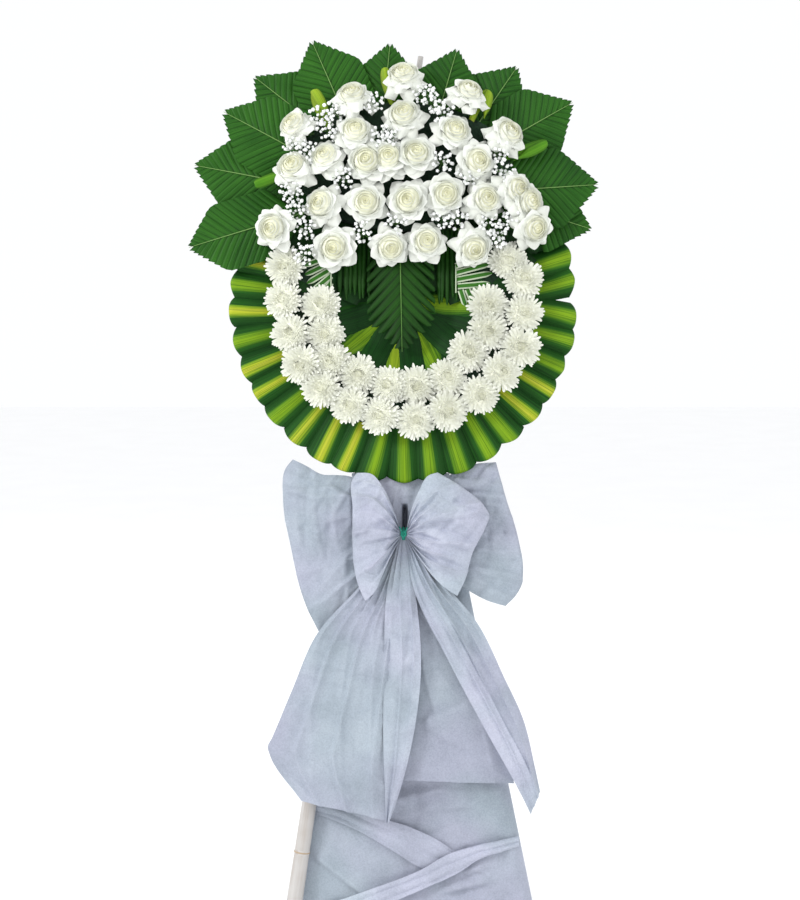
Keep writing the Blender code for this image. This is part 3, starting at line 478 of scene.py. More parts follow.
def build_pole(name, tip_radius, sizes):
    """One bamboo pole, swollen at its joints, with both ends cut off."""
    foot, tip = pole_ends(name)
    length = np.linalg.norm(tip - foot)
    way = (tip - foot) / length
    joints = np.arange(sizes.culm_length * 0.65, length - 0.04, sizes.culm_length)
    near_joints = [joint + JOINT_STATIONS for joint in joints]
    stations = np.unique(np.concatenate([np.linspace(0.0, length, 60), *near_joints]))
    stations = stations[(stations >= 0.0) & (stations <= length)]
    gap = np.abs(stations[:, None] - joints[None]).min(1)
    radius = sizes.pole_foot_radius + (tip_radius - sizes.pole_foot_radius) * stations / length
    radius = radius * (1.0 + 0.09 * np.exp(-(gap / 0.003) ** 2) - 0.02 * np.exp(-(gap / 0.012) ** 2))
    aside = np.cross(way, (0.0, 1.0, 0.0))
    aside /= np.linalg.norm(aside)
    other = np.cross(way, aside)
    turn = np.linspace(0.0, math.tau, 28, endpoint=False)
    ring = aside * np.cos(turn)[:, None] + other * np.sin(turn)[:, None]
    line = foot + way * stations[:, None]
    points = line[:, None] + ring[None] * radius[:, None, None]
    points[0, :, 2] = foot[2]
    shade = np.exp(-(gap / 0.0025) ** 2)[:, None]
    body = Surface()
    body.grid(points, (stations / length)[:, None], turn / math.tau, shade, closed=True)
    for row, centre in ((points[0], foot), (points[-1], line[-1])):
        rings = np.stack([row, (row - centre) * 0.5 + centre, (row - centre) * 0.02 + centre])
        body.grid(rings, 0.5, turn / math.tau, 0.2, closed=True)
    body.build(name + "_culm", MATERIALS["bamboo"], "bamboo", [name], world=True)


def build_cross_rail():
    """The thin cane behind the front poles, with one joint and cut ends."""
    low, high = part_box("cross_rail")
    points = np.array([v.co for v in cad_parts["cross_rail"].data.vertices])
    left = points[points[:, 0] < low.x + RAIL_END].mean(0)
    right = points[points[:, 0] > high.x - RAIL_END].mean(0)
    body = Surface()
    shares = np.linspace(0.0, 1.0, 40)
    swell = 1.0 + 0.08 * np.exp(-((shares - RAIL_JOINT) / 0.012) ** 2)
    body.tube(left + (right - left) * shares[:, None], RAIL_RADIUS * swell, 20)
    for end, inward in ((left, right - left), (right, left - right)):
        step = inward / np.linalg.norm(inward) * 0.0004
        body.tube(np.array([end, end + step * 0.5, end + step]), np.array([0.0002, 0.006, RAIL_RADIUS]), 20)
    body.build("cross_rail_cane", MATERIALS["bamboo"], "bamboo", ["cross_rail"], world=True)


def build_poles(sizes):
    for name, tip_radius in POLE_TIPS.items():
        build_pole(name, tip_radius, sizes)
    build_cross_rail()


def loop_line(centre, half_a, half_b, first, second, turns=64):
    """A rounded square loop round two crossing rods."""
    angle = np.linspace(0.0, math.tau, turns + 1)
    c, s = np.cos(angle), np.sin(angle)
    a = np.sign(c) * np.abs(c) ** 0.7 * half_a
    b = np.sign(s) * np.abs(s) ** 0.7 * half_b
    return centre + np.outer(a, first) + np.outer(b, second)


def build_lashings(sizes):
    """Cord wound in a cross round each pair of rods, in place of the bored blocks."""
    front = np.array(LAYOUT.to_3x3() @ Vector((0, 0, 1)))
    up = np.array(LAYOUT.to_3x3() @ Vector((0, 1, 0)))
    side = np.array((1.0, 0.0, 0.0))
    for name, (wide, depth_share) in LASHINGS.items():
        low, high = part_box(name)
        centre = np.array((low + high) / 2)
        deep = abs(np.array(high - low) @ np.abs(front)) * depth_share
        body = Surface()
        for slant in (1.0, -1.0):
            across = side * math.cos(CROSSING) + up * math.sin(CROSSING) * slant
            along = -side * math.sin(CROSSING) * slant + up * math.cos(CROSSING)
            for k in range(LASHING_TURNS):
                shift = (k - LASHING_TURNS // 2) * sizes.cord_thickness * 0.95
                line = loop_line(centre + along * shift, wide + 0.002 * (slant > 0), deep, across, front)
                body.tube(line, sizes.cord_thickness / 2, 8, 0.1 * k)
        body.build(name + "_cord", MATERIALS["cord"], "cord", [name], world=True)


def build_board(sizes):
    """Round bead board with eased edges; the wires pass through it."""
    body = Surface()
    turn = np.linspace(0.0, math.tau, 120, endpoint=False)
    ring = stacked(np.cos(turn), np.sin(turn), 0.0)
    middle = -BOARD_HALF_THICK / MM
    back = [(radius, middle - high) for radius, high in BOARD_SECTION]
    face = [(radius, middle + high) for radius, high in reversed(BOARD_SECTION)]
    profile = [*back, (BOARD_SECTION[-1][0], middle), *face]
    points = np.stack([ring * radius + (0, 0, z) for radius, z in profile])
    body.grid(points, np.linspace(0, 1, len(profile))[:, None], turn / math.tau, 0.5, closed=True)
    body.build("bead_board_disc", MATERIALS["styrene"], "styrene", ["foam_board"])


# Leaves

# The ruffle: its leaves, degrees for each, where the first begins, and the radii of root and rim.
RUFFLE_LEAVES, RUFFLE_STEP, RUFFLE_START = 25, 9.6, 150.0
RUFFLE_ROOT, RUFFLE_RIM = 262.0, 364.0

# Shares of a leaf's length where the fold over the rim begins and ends.
FOLD_BEGINS, FOLD_ENDS = 0.72, 0.88


def build_ruffle(sizes):
    """Striped leaves folded over at the rim, side by side, each arched between two valleys."""
    rng = np.random.default_rng(5)
    body = Surface()
    across = np.linspace(-1.0, 1.0, 17)[None, :]
    t = np.linspace(0.0, 1.0, 26)[:, None]
    out = smoothstep(0.0, FOLD_BEGINS, t)
    straight = np.clip(t / FOLD_BEGINS, 0.0, 1.0)
    bend = np.clip((t - FOLD_BEGINS) / 0.16, 0.0, 1.0)
    back = np.clip((t - FOLD_ENDS) / 0.12, 0.0, 1.0)
    half = math.radians(RUFFLE_STEP) * 0.5 * 1.13
    for i in range(RUFFLE_LEAVES):
        mid = math.radians(RUFFLE_START + RUFFLE_STEP * (i + 0.5)) + rng.normal(0.0, 0.006)
        tint, skew, power = rng.uniform(0.0, 1.0), rng.uniform(-0.22, 0.22), rng.uniform(1.5, 3.2)
        rim = RUFFLE_RIM + 14.0 * max(0.0, -math.sin(mid)) ** 2 + rng.uniform(-3.0, 1.5)
        rim = rim - 12.0 * np.abs(across + skew) ** power
        crest = (17.0 + rng.uniform(-2.5, 1.0)) * (1.0 - np.abs(across) ** 1.7)
        fold = np.clip(crest * 0.42, 1.6, None)
        radius = RUFFLE_ROOT + (rim - fold - RUFFLE_ROOT) * straight
        radius = radius + fold * np.sin(bend * math.pi) - 26.0 * back
        height = 3.0 + crest * (0.55 + 0.45 * out) - fold * (1.0 - np.cos(bend * math.pi))
        height = np.maximum(height, 1.0 + 0.4 * (1.0 - np.abs(across)))
        angle = mid + across * half + rng.normal(0.0, 0.02) * (straight - 0.5)
        points = stacked(radius * np.cos(angle), radius * np.sin(angle), height + 0.7 * (i % 2))
        body.grid(points, t, across + rng.normal(0, 0.07), tint)
    body.build("ruffle_leaves", MATERIALS["striped"], "striped_leaf", ["leaf_ruffle"])


def folded_leaf(body, root, tip, half_width, low, arch, tint, rng, rise=0.0, blunt=0.5, shift=0.0, band=1.0):
    """A broad leaf with a keel; rise lifts its end, shift and band move and widen its light band."""
    root, tip = np.asarray(root, float), np.asarray(tip, float)
    way = tip - root
    length = np.linalg.norm(way)
    way /= length
    aside = np.array((-way[1], way[0]))
    t = np.linspace(0.0, 1.0, 22)[:, None]
    s = np.linspace(-1.0, 1.0, 13)[None, :]
    narrow = 1.0 - (1.0 - blunt) * smoothstep(0.6, 1.0, t) ** 1.5
    width = half_width * np.clip(0.40 + 1.3 * t, 0, 1) * narrow
    x = root[0] + way[0] * length * t + aside[0] * width * s
    y = root[1] + way[1] * length * t + aside[1] * width * s
    z = low + arch * (1.0 - np.abs(s) ** 1.5) * np.clip(width / half_width, 0, 1)
    z = z + rise * smoothstep(0.55, 1.0, t)
    z = z + 0.5 * np.sin(9.0 * t + rng.uniform(0, 6)) * s
    body.grid(stacked(x, y, z), t, s / band + shift, tint)


def leaf_way(degrees):
    return np.array((math.cos(math.radians(degrees)), math.sin(math.radians(degrees))))


# Leaves of the middle: direction in degrees, tint, whether the light band shows.
MIDDLE_LEAVES = [
    (176, 0.2, False), (199, 0.3, False), (222, 0.45, True), (243, 0.2, False), (262, 0.6, True),
    (277, 0.5, False), (295, 0.4, True), (318, 0.2, False), (340, 0.3, False), (357, 0.5, True),
    (374, 0.2, False),
]

# Shift that takes the light band off a leaf.
NO_BAND = 1.6


def build_centre_leaves(sizes):
    rng = np.random.default_rng(8)
    body = Surface()
    for i, (degrees, tint, banded) in enumerate(MIDDLE_LEAVES):
        way = leaf_way(degrees)
        shift, band = (0.0, 1.7) if banded else (NO_BAND, 1.0)
        folded_leaf(body, way * 6.0, way * 170.0, 31.0, 7.0 + 4.0 * (i % 2), 6.0, tint, rng,
                    26.0, 0.8, shift, band)
    for i in range(16):
        way = leaf_way(-14.0 + 22.5 * i)
        tint = rng.uniform(0.0, 0.5)
        folded_leaf(body, way * 10.0, way * 168.0, 36.0, 2.0 + 2.0 * (i % 2), 3.0, tint, rng,
                    30.0, 1.0, NO_BAND)
    body.build("middle_leaves", MATERIALS["striped"], "striped_leaf", ["centre_leaves"])


# Broad leaves laid under the roses, where the board would show: root and tip.
UNDER_LEAVES = [
    ((-90, 215), (-290, 190)), ((-100, 190), (-285, 120)), ((-110, 165), (-262, 62)),
    ((-120, 150), (-215, 20)), ((-110, 150), (-175, 10)), ((90, 215), (290, 190)), ((100, 190), (285, 120)),
    ((110, 165), (262, 62)), ((120, 150), (215, 20)), ((110, 150), (175, 10)), ((-60, 150), (-120, 0)),
    ((60, 150), (120, 0)), ((-30, 160), (-60, 20)), ((30, 160), (60, 20)), ((0, 160), (0, 20)),
    ((-150, 240), (-270, 290)), ((150, 240), (270, 290)), ((-140, 300), (-240, 380)),
    ((140, 300), (240, 380)),
]


def build_under_leaves(sizes):
    rng = np.random.default_rng(14)
    body = Surface()
    for i, (root, tip) in enumerate(UNDER_LEAVES):
        beside_ring = abs(tip[0]) > 150 and tip[1] < 130
        rise = 18.5 if beside_ring else 4.0
        folded_leaf(body, root, tip, 42.0, 16.0 + 2.0 * (i % 3), 4.0, rng.uniform(0, 1), rng, rise, 0.6)
    body.build("under_leaves", MATERIALS["leaf"], "palm_leaf")


# Heights of the fan's fronds over the board: each lies over or under its neighbours.
FAN_UNDER, FAN_OVER, FAN_TOP = 25, 33, 41

# Fan fronds: tip, point where the rib comes out of the roses, half width, height.
FAN = [
    ((-448, 110), (-299, 154), 72, FAN_OVER),
    ((-438, 285), (-309, 259), 76, FAN_UNDER),
    ((-377, 396), (-238, 320), 80, FAN_OVER),
    ((-312, 471), (-255, 425), 78, FAN_UNDER),
    ((-192, 545), (-143, 432), 78, FAN_OVER),
    ((-28, 541), (-37, 446), 76, FAN_UNDER),
    ((112, 526), (91, 453), 76, FAN_OVER),
    ((238, 492), (186, 415), 76, FAN_UNDER),
    ((354, 415), (249, 354), 78, FAN_OVER),
    ((406, 240), (245, 228), 84, FAN_TOP),
    ((390, 150), (345, 164), 76, FAN_UNDER),
]
FAN_HUB = np.array((0.0, 184.0))
HIDDEN_RIB = 90.0
LEAFLET_ANGLE = 52.0

# The frond over the middle: node, root, tip, half width, height, angle and number of its leaflets.
FRONT_FROND = ("frond_front", (-8.0, 146.0), (-3.0, -112.0), 70.0, 46.0, 44.0, 11)

# Longest leaflet, and the share of a leaflet's width where its pleat stands highest.
LONGEST_LEAFLET = 170.0
PLEAT_AT = 0.62


def frond_height(x, y, off, level):
    """A frond's height at a point: highest at its rib, and drooping far from the hub."""
    from_hub = np.hypot(x - FAN_HUB[0], y - FAN_HUB[1])
    droop = 9.0 * np.maximum(0.0, (from_hub - 250.0) / 200.0) ** 2
    return level + 3.0 * (1.0 - off) - droop


def leaflet_reach(start, length, half_width, angle):
    """How long a leaflet can be before it passes the pointed outline of its frond."""
    reach = np.arange(4.0, LONGEST_LEAFLET, 0.5)
    x = start + reach * math.cos(angle)
    limit = np.minimum(half_width, np.minimum(0.85 * half_width + 0.9 * x, (length - x) * 1.05))
    over = reach * math.sin(angle) > limit
    return reach[np.argmax(over)] if over.any() else LONGEST_LEAFLET


def build_frond(name, root, tip, half_width, level, count, angle, rng, stem, gap=0.0, palm="palm"):
    """Pleated leaflets either side of a pale rib, cut off along a pointed outline."""
    length = np.linalg.norm(tip - root)
    dx, dy = (tip - root) / length
    body = Surface()

    def place(along, off, lift):
        x = root[0] + dx * along - dy * off
        y = root[1] + dy * along + dx * off
        return stacked(x, y, frond_height(x, y, np.abs(off) / half_width, level) + lift)

    step = length * 0.94 / count
    t = np.linspace(0.0, 1.0, 12)[:, None]
    s = np.linspace(0.0, 1.0, 9)[None, :]
    ridge = np.where(s < PLEAT_AT, s / PLEAT_AT, (1.0 - s) / (1.0 - PLEAT_AT)) ** 0.8
    for sign in (-1.0, 1.0):
        for i in range(count):
            begin, end = step * (i - 0.10), step * (i + 1.12)
            lean = angle * (1.0 - 0.30 * smoothstep(0.5, 1.0, i / count)) + rng.normal(0.0, 0.006)
            near = leaflet_reach(max(begin, 0.0), length, half_width, lean)
            far = leaflet_reach(min(end, length - 6.0), length, half_width, lean)
            reach = (near + (far - near) * s) * rng.uniform(0.992, 1.0)
            round_tip = 1.0 - 0.02 * (2.0 * s - 1.0) ** 4
            fan = 1.0 + 0.55 * (1.0 - gap) * smoothstep(0.35, 0.8, i / count) * t
            base = begin + (end - begin) * (0.5 + (s - 0.5) * (1.0 - gap * t**2) * fan)
            along = base + reach * t * math.cos(lean) * round_tip + 0.05 * reach * t * (1.0 - t)
            off = sign * (reach * t * math.sin(lean) * round_tip - 0.8 * (1.0 - t))
            pleat = (4.2 * ridge - 1.6) * np.clip(0.3 + 1.6 * t, 0, 1) - 1.6 * s
            wave = rng.uniform(0.2, 0.9) * np.sin(3.0 * t + rng.uniform(0, 6))
            body.grid(place(along, off, pleat + wave * ridge), 0.06 + 0.94 * t, 2.0 * s - 1.0,
                      rng.uniform(0.0, 1.0))
    shares = np.linspace(0.0, 1.0, 30)
    line = place(-stem + (length * 0.99 + stem) * shares, 0.0 * shares, 2.0)
    body.tube(line, 1.7 * (1.0 - 0.7 * shares), 8, 0.5)
    body.values["along"][-1] = np.zeros(30 * 8)
    return body.build(name + "_leaflets", MATERIALS[palm], "palm_leaf", [name])


# Front fronds whose leaflets hang straight down: node, left and right side, top, bottom, height, leaflets.
HANGING = [
    ("frond_front_left", -136.0, -66.0, 150.0, 6.0, 34.0, 7),
    ("frond_front_right", 68.0, 134.0, 150.0, -4.0, 34.0, 7),
]


def strip(body, start, end, width, level, lift, tint, rng):
    """One pleated leaflet from start to end with a rounded tip."""
    start, end = np.asarray(start, float), np.asarray(end, float)
    way = (end - start) / np.linalg.norm(end - start)
    aside = np.array((-way[1], way[0]))
    t = np.linspace(0.0, 1.0, 12)[:, None]
    s = np.linspace(-1.0, 1.0, 7)[None, :]
    tip = 1.0 - 0.06 * s * s * t
    half = width / 2 * (1.0 - 0.45 * smoothstep(0.85, 1.0, t))
    line = start + (end - start) * t
    x = start[0] + (line[:, :1] - start[0]) * tip + aside[0] * half * s
    y = start[1] + (line[:, 1:] - start[1]) * tip + aside[1] * half * s
    z = level + lift * (1.0 - np.abs(s)) ** 0.8 + rng.normal(0, 0.5) * t
    body.grid(stacked(x, y, z), 0.06 + 0.94 * t, s, tint)


def build_hanging_fronds():
    for name, left, right, top, bottom, level, count in HANGING:
        rng = np.random.default_rng(len(name))
        body = Surface()
        pitch = (right - left) / count
        for i in range(count):
            x = left + pitch * (i + 0.5)
            end = (x + rng.normal(0, 1.5), bottom + rng.uniform(-8, 8))
            strip(body, (x, top), end, pitch * 1.06, level + 1.2 * (i % 2), 4.0, rng.uniform(0, 1), rng)
        rib = [(left - 4, top - 6, level + 3), ((left + right) / 2, top - 2, level + 4),
               (right + 4, top - 6, level + 3)]
        body.tube(rib, 1.8, 8, 0.5)
        # The hanging fronds take the palm leaflets' darker copy, their shade painted on.
        body.build(name + "_leaflets", MATERIALS["palm_shaded"], "palm_leaf", [name])


# Leaflets beside them with pale edges that are a painted highlight: root and tip of each, and x, top and
# bottom of each rib.
HIGHLIGHT_EDGED_LEAFLETS = [
    ((-150, 92), (-206, 70)), ((-150, 78), (-204, 52)), ((-150, 64), (-200, 34)), ((-150, 50), (-190, 16)),
    ((-150, 36), (-176, 2)), ((108, 70), (176, 96)), ((108, 56), (182, 76)), ((110, 42), (184, 56)),
    ((112, 28), (180, 34)), ((118, 20), (128, -12)), ((132, 22), (146, -10)), ((146, 24), (164, -4)),
]
HIGHLIGHT_EDGED_RIBS = [(-150.0, 96.0, -6.0), (108.0, 76.0, 14.0)]


def build_highlight_edged_leaflets():
    rng = np.random.default_rng(77)
    body = Surface()
    for start, end in HIGHLIGHT_EDGED_LEAFLETS:
        strip(body, start, end, 13.0, 38.0 + rng.uniform(0, 1.5), 2.5, rng.uniform(0, 1), rng)
    for x, top, bottom in HIGHLIGHT_EDGED_RIBS:
        body.tube([(x, top, 39.0), (x, (top + bottom) / 2, 42.0), (x, bottom, 40.0)], 1.7, 8, 0.5)
    body.build("highlight_edged_leaflets", MATERIALS["highlight_edged"], "palm_leaf")


def build_fronds(sizes):
    for i, (tip, rib_point, half_width, level) in enumerate(FAN):
        tip, rib_point = np.array(tip, float), np.array(rib_point, float)
        root = rib_point - (tip - rib_point) / np.linalg.norm(tip - rib_point) * HIDDEN_RIB
        count = int(np.linalg.norm(tip - root) / sizes.leaflet_pitch)
        build_frond(f"frond_{i + 1:02d}", root, tip, half_width, level, count, math.radians(LEAFLET_ANGLE),
                    np.random.default_rng(40 + i), 20.0)
    name, root, tip, half_width, level, angle, count = FRONT_FROND
    # The front frond takes the palm leaflets' darker copy, its shade painted on.
    build_frond(name, np.array(root), np.array(tip), half_width, level, count, math.radians(angle),
                np.random.default_rng(70), 8.0, 0.5, "palm_shaded")
    build_hanging_fronds()
    build_highlight_edged_leaflets()


# Yellow-green leaves between the roses: root, top of the bend, end of the folded part, finish.
ACCENTS = [
    ((-150, 345), (-186, 432), (-150, 372), "accent"),
    ((-205, 270), (-306, 234), (-232, 262), "accent_green"),
    ((-14, 385), (-40, 478), (-22, 400), "accent"),
    ((140, 370), (176, 431), (166, 372), "accent"),
    ((205, 290), (296, 322), (226, 284), "accent_green"),
]

# Share of an accent leaf's length where it bends over.
ACCENT_BEND = 0.56


def build_accents(sizes):
    """Narrow leaves bent over: up from the roses, round the bend and back down beside."""
    t = np.linspace(0.0, 1.0, 34)
    s = np.linspace(-1.0, 1.0, 9)
    for i, (root, top, end, finish) in enumerate(ACCENTS):
        root, top, end = (np.array(p, float) for p in (root, top, end))
        line = along_line([root, (root * 0.4 + top * 0.6) + (-4, 2), top, top * 0.35 + end * 0.65, end], t)
        way = (top - root) / np.linalg.norm(top - root)
        aside = np.array((-way[1], way[0]))
        pinch = 1.0 - 0.55 * np.exp(-(((t - ACCENT_BEND) / 0.07) ** 2))
        half = 11.0 * np.clip(0.55 + 1.2 * t, 0, 1) * pinch * (1.0 - 0.9 * smoothstep(0.75, 1.0, t))
        xy = line[:, None] + aside[None, None] * (half[:, None] * s[None])[..., None]
        z = 56.0 + 7.0 * smoothstep(0.4, 0.7, t) + 4.0 * np.exp(-(((t - ACCENT_BEND) / 0.10) ** 2))
        z = z[:, None] + 3.5 * (1.0 - np.abs(s) ** 1.4)[None] - 3.0 * (top[1] > 425)
        body = Surface()
        body.grid(stacked(xy[..., 0], xy[..., 1], z), t[:, None], s[None] * 0.9, 0.3 + 0.1 * i)
        name = f"accent_leaf_{i + 1}"
        body.build(name + "_blade", MATERIALS[finish], "yellow_green_leaf", [name])


# Flowers

# Places of the flowers, one list for each bunch or group of the frame.
ROSE_BUNCHES = [
    [(-159, 289), (-222, 362), (-228, 268)],
    [(-161, 194), (-266, 148), (-142, 106)],
    [(-104, 345), (-106, 419)],
    [(3, 379), (1, 465)],
    [(-33, 289), (-74, 285), (24, 295)],
    [(-79, 196), (-30, 112)],
    [(102, 345), (131, 427)],
    [(14, 201), (85, 217), (47, 114)],
    [(148, 289), (211, 341)],
    [(226, 228), (251, 201), (268, 156)],
    [(165, 205), (144, 110)],
]
MUM_GROUPS = [
    [(-247, -1), (-243, 68), (-169, -12)],
    [(-159, -70), (-232, -70), (-150, -127)],
    [(-209, -133), (-167, -182)],
    [(-110, -217), (-47, -240), (-93, -154)],
    [(26, -177), (24, -249), (-30, -177)],
    [(89, -228), (156, -196), (89, -161)],
    [(173, -64), (201, -150), (131, -108)],
    [(240, -98), (247, -28)],
    [(215, 79), (247, 41), (173, -12)],
]

# Places of the tufts of gypsophila.
GYPSOPHILA = [
    (-169, 371), (-154, 341), (-222, 308), (-194, 295), (-64, 398), (-45, 324), (-228, 211),
    (-203, 140), (-85, 133), (-203, 89), (62, 398), (-28, 324), (79, 274), (192, 297), (205, 257),
    (-16, 150), (79, 161), (108, 161), (219, 154), (192, 123), (-125, 240), (40, 420), (80, 375),
    (-235, 235), (-215, 175), (130, 250), (-140, 380), (175, 150),
]

# How far the outer petals of each rose bend back, from 0 to 1.
ROSE_BENT = [
    [0.55, 0.9, 0.9], [0.5, 0.4, 0.1], [0.3, 0.8], [0.8, 1.0], [0.15, 0.2, 0.1], [0.15, 0.3],
    [0.45, 0.6], [0.1, 0.1, 0.3], [0.4, 0.85], [0.6, 0.5, 0.5], [0.95, 0.7],
]

# The rose dome: its middle, half its width and height, and the height of its edge and its rise.
DOME_CENTRE = np.array((0.0, 275.0))
DOME_HALF = (289.0, 188.0)
DOME_EDGE, DOME_RISE = 58.0, 22.0
STEM_FOOT = 50.0

# Roses lean away from this height of the dome, more the further they stand from it.
LEAN_FROM, LEAN_REACH = 230.0, 260.0


def rose_base(x, y):
    """Height of the dome that a rose or a tuft stands on."""
    px, py = (x - DOME_CENTRE[0]) / DOME_HALF[0], (y - DOME_CENTRE[1]) / DOME_HALF[1]
    return DOME_EDGE + DOME_RISE * max(0.0, 1.0 - px * px - py * py)


def wrapped_petal(body, radius, low, height, spread, angle, close, roll, cream, tint, put, rng):
    """A petal of the round heart: it wraps round the axis, closes over it, and its lip rolls out."""
    t = np.linspace(0.0, 1.0, 10)[:, None]
    s = np.linspace(-1.0, 1.0, 11)[None, :]
    swell = np.sin(math.pi / 2 * np.clip(t / 0.6, 0, 1))
    lip = smoothstep(0.78, 1.0, t)
    r = radius * (0.25 + 0.75 * swell) * (1.0 - close * smoothstep(0.5, 1.0, t)) * (1.0 + 0.07 * s)
    r = r + roll * lip * (0.6 + 0.4 * s * s)
    turn = angle + s * spread
    z = low + (height - low) * t**0.9 - 6.5 * np.abs(s) ** 2.4 * t - 0.5 * roll * lip
    z = z + 0.7 * np.sin(5.0 * s + rng.uniform(0, 6)) * lip
    body.grid(put(stacked(r * np.cos(turn), r * np.sin(turn), z)), cream + 0.25 * lip, s, tint)


def open_petal(body, reach, top, width, angle, bent, tint, put, rng):
    """An outer petal: broad and rounded, or bent back with its sides rolled under to a point."""
    t = np.linspace(0.0, 1.0, 13)[:, None]
    s = np.linspace(-1.0, 1.0, 13)[None, :]
    edge = np.abs(s)
    out = 6.0 + (reach - 6.0) * (0.35 * t + 0.65 * t**1.5)
    out = out * (1.0 - (0.10 + 0.16 * bent) * edge**2 * t**2) + 3.0 * (1.0 - edge) ** 2 * t**8
    rise = 3.0 + (top - 3.0) * np.sin(np.clip(t * (1.25 + 0.75 * bent), 0, 2.6))
    rise = rise - (2.0 + 12.0 * bent) * smoothstep(0.62, 1.0, t)
    half = width * np.sin(math.pi * (0.08 + 0.64 * t)) ** 0.75 * (1.0 - 0.26 * bent * smoothstep(0.6, 1.0, t))
    roll = (2.0 + 8.0 * bent) * edge**2.8 * smoothstep(0.3, 1.0, t)
    curl = 2.2 * smoothstep(0.86, 1.0, t)
    side = half * s * (1.0 - 0.14 * bent * edge**3 * t)
    cup = side**2 / (2.0 * np.maximum(out * 1.1, 18.0)) * (1.0 - 0.4 * bent)
    x = out - cup
    z = rise - roll - curl + 0.8 * np.sin(3.5 * s + rng.uniform(0, 6)) * t * t
    z = z + 0.16 * half * edge * (1 - bent)
    c, sn = math.cos(angle), math.sin(angle)
    body.grid(put(stacked(x * c - side * sn, x * sn + side * c, z)), 0.55 + 0.45 * t, s, tint)


# Rings of a rose's heart: radius, height, how far it closes, roll of the lip, petals.
ROSE_HEART = [
    (8.0, 41.0, 0.75, 0.0, 2), (11.5, 41.5, 0.55, 0.3, 3), (15.0, 41.0, 0.36, 0.9, 3),
    (18.5, 39.5, 0.20, 1.6, 4), (22.0, 36.5, 0.08, 2.6, 4), (25.0, 32.5, 0.0, 4.0, 5),
]

# Rings of its open petals: reach, height, half width, petals, share of the bloom's bend.
ROSE_OPEN = [(33.0, 30.0, 19.0, 5, 0.5), (39.0, 24.0, 20.0, 5, 0.9), (45.0, 15.0, 19.0, 5, 1.1)]

# The bud inside the heart: height, radius and shade of each ring.
ROSE_BUD = np.array([
    (2.0, 4.0, 0.7), (9.0, 14.0, 0.7), (17.0, 23.0, 0.7), (24.0, 27.0, 0.6), (29.5, 23.5, 0.42),
    (33.5, 15.5, 0.25), (36.5, 7.0, 0.12), (38.5, 0.5, 0.05),
])
BUD_SIDES = 14


def add_rose(body, x, y, bent, rng):
    """One bloom, leaning out from the middle of the dome; gives back the line of its neck."""
    outward = np.array((x - DOME_CENTRE[0], y - LEAN_FROM)) / LEAN_REACH
    tilt = (-outward[1] * 0.62 - 0.10 + rng.normal(0, 0.10), outward[0] * 0.50 + rng.normal(0, 0.10))
    turn, size = rng.uniform(0.0, math.tau), rng.uniform(1.04, 1.15)
    whiten = rng.uniform(0.0, 0.14)
    foot = (x - 10.0 * outward[0], y - 9.0 - 15.0 * outward[1], rose_base(x, y))

    def put(points):
        return placed(points * size, foot, tilt, turn)

    spiral = 0.0
    for ring, (radius, height, close, roll, number) in enumerate(ROSE_HEART):
        spread, cream = math.pi / number * 1.45, 0.06 + whiten + 0.13 * ring
        for k in range(number):
            angle = spiral + math.tau * k / number + rng.normal(0, 0.08)
            wrapped_petal(body, radius * rng.uniform(0.93, 1.05), 3.0, height + rng.normal(0, 1.0), spread,
                          angle, close, roll, cream, rng.uniform(0, 1), put, rng)
        spiral += 0.9
    for reach, top, width, number, share in ROSE_OPEN:
        for k in range(number):
            angle = spiral + math.tau * k / number + rng.normal(0, 0.14)
            open_petal(body, reach * rng.uniform(0.90, 1.06), top + rng.normal(0, 2.5),
                       width * rng.uniform(0.86, 1.1), angle, min(1.0, bent * share * rng.uniform(0.6, 1.3)),
                       rng.uniform(0, 1), put, rng)
        spiral += 0.62
    height, radius, shade = ROSE_BUD.T
    body.tube(put(stacked(0.0, 0.0, height)), radius, BUD_SIDES, 0.5)
    body.values["along"][-1] = np.repeat(shade, BUD_SIDES)
    return put(stacked(0.0, 0.0, -10.0 + 14.0 * np.linspace(0.0, 1.0, 7)))


def straight_rod(start, end, number):
    """Points spread evenly from one to another."""
    return np.stack([start + (end - start) * share for share in np.linspace(0, 1, number)])


def build_roses(sizes):
    stems = Surface()
    for i, (bunch, bents) in enumerate(zip(ROSE_BUNCHES, ROSE_BENT)):
        rng = np.random.default_rng(100 + i)
        body = Surface()
        for (x, y), bent in zip(bunch, bents):
            neck = add_rose(body, x, y, bent, rng)
            stems.tube(neck, 3.0 + 5.0 * np.linspace(0, 1, 7) ** 2, 8, 0.4)
            inside = np.array((x, y)) - (np.array((x, y)) - DOME_CENTRE) * 0.22
            foot = np.array((inside[0], inside[1], STEM_FOOT))
            stems.tube(straight_rod(foot, neck[0], 6), 2.6, 6, 0.4)
        name = f"rose_bunch_{i + 1:02d}"
        body.build(name + "_petals", MATERIALS["rose"], "rose_petal", [name])
    stems.build("rose_stems", MATERIALS["stem"], "rose_petal")


def add_floret(body, at, size, rng):
    """A tiny double bloom: a ruffled ball of petals."""
    t = np.linspace(0.03, 0.97, 6)[:, None]
    a = np.linspace(0.0, math.tau, 10, endpoint=False)[None, :]
    ruffle = 1.0 + 0.22 * np.sin(5.0 * a + rng.uniform(0, 6)) * np.sin(math.pi * t)
    ruffle = ruffle + rng.normal(0, 0.05, (6, 10))
    r = size * np.sin(math.pi * t) * ruffle
    points = stacked(r * np.cos(a), r * np.sin(a), -size * 0.8 * np.cos(math.pi * t))
    body.grid(points + at, 0.3 + 0.7 * t, a / math.pi - 1.0, rng.uniform(0, 1), closed=True)


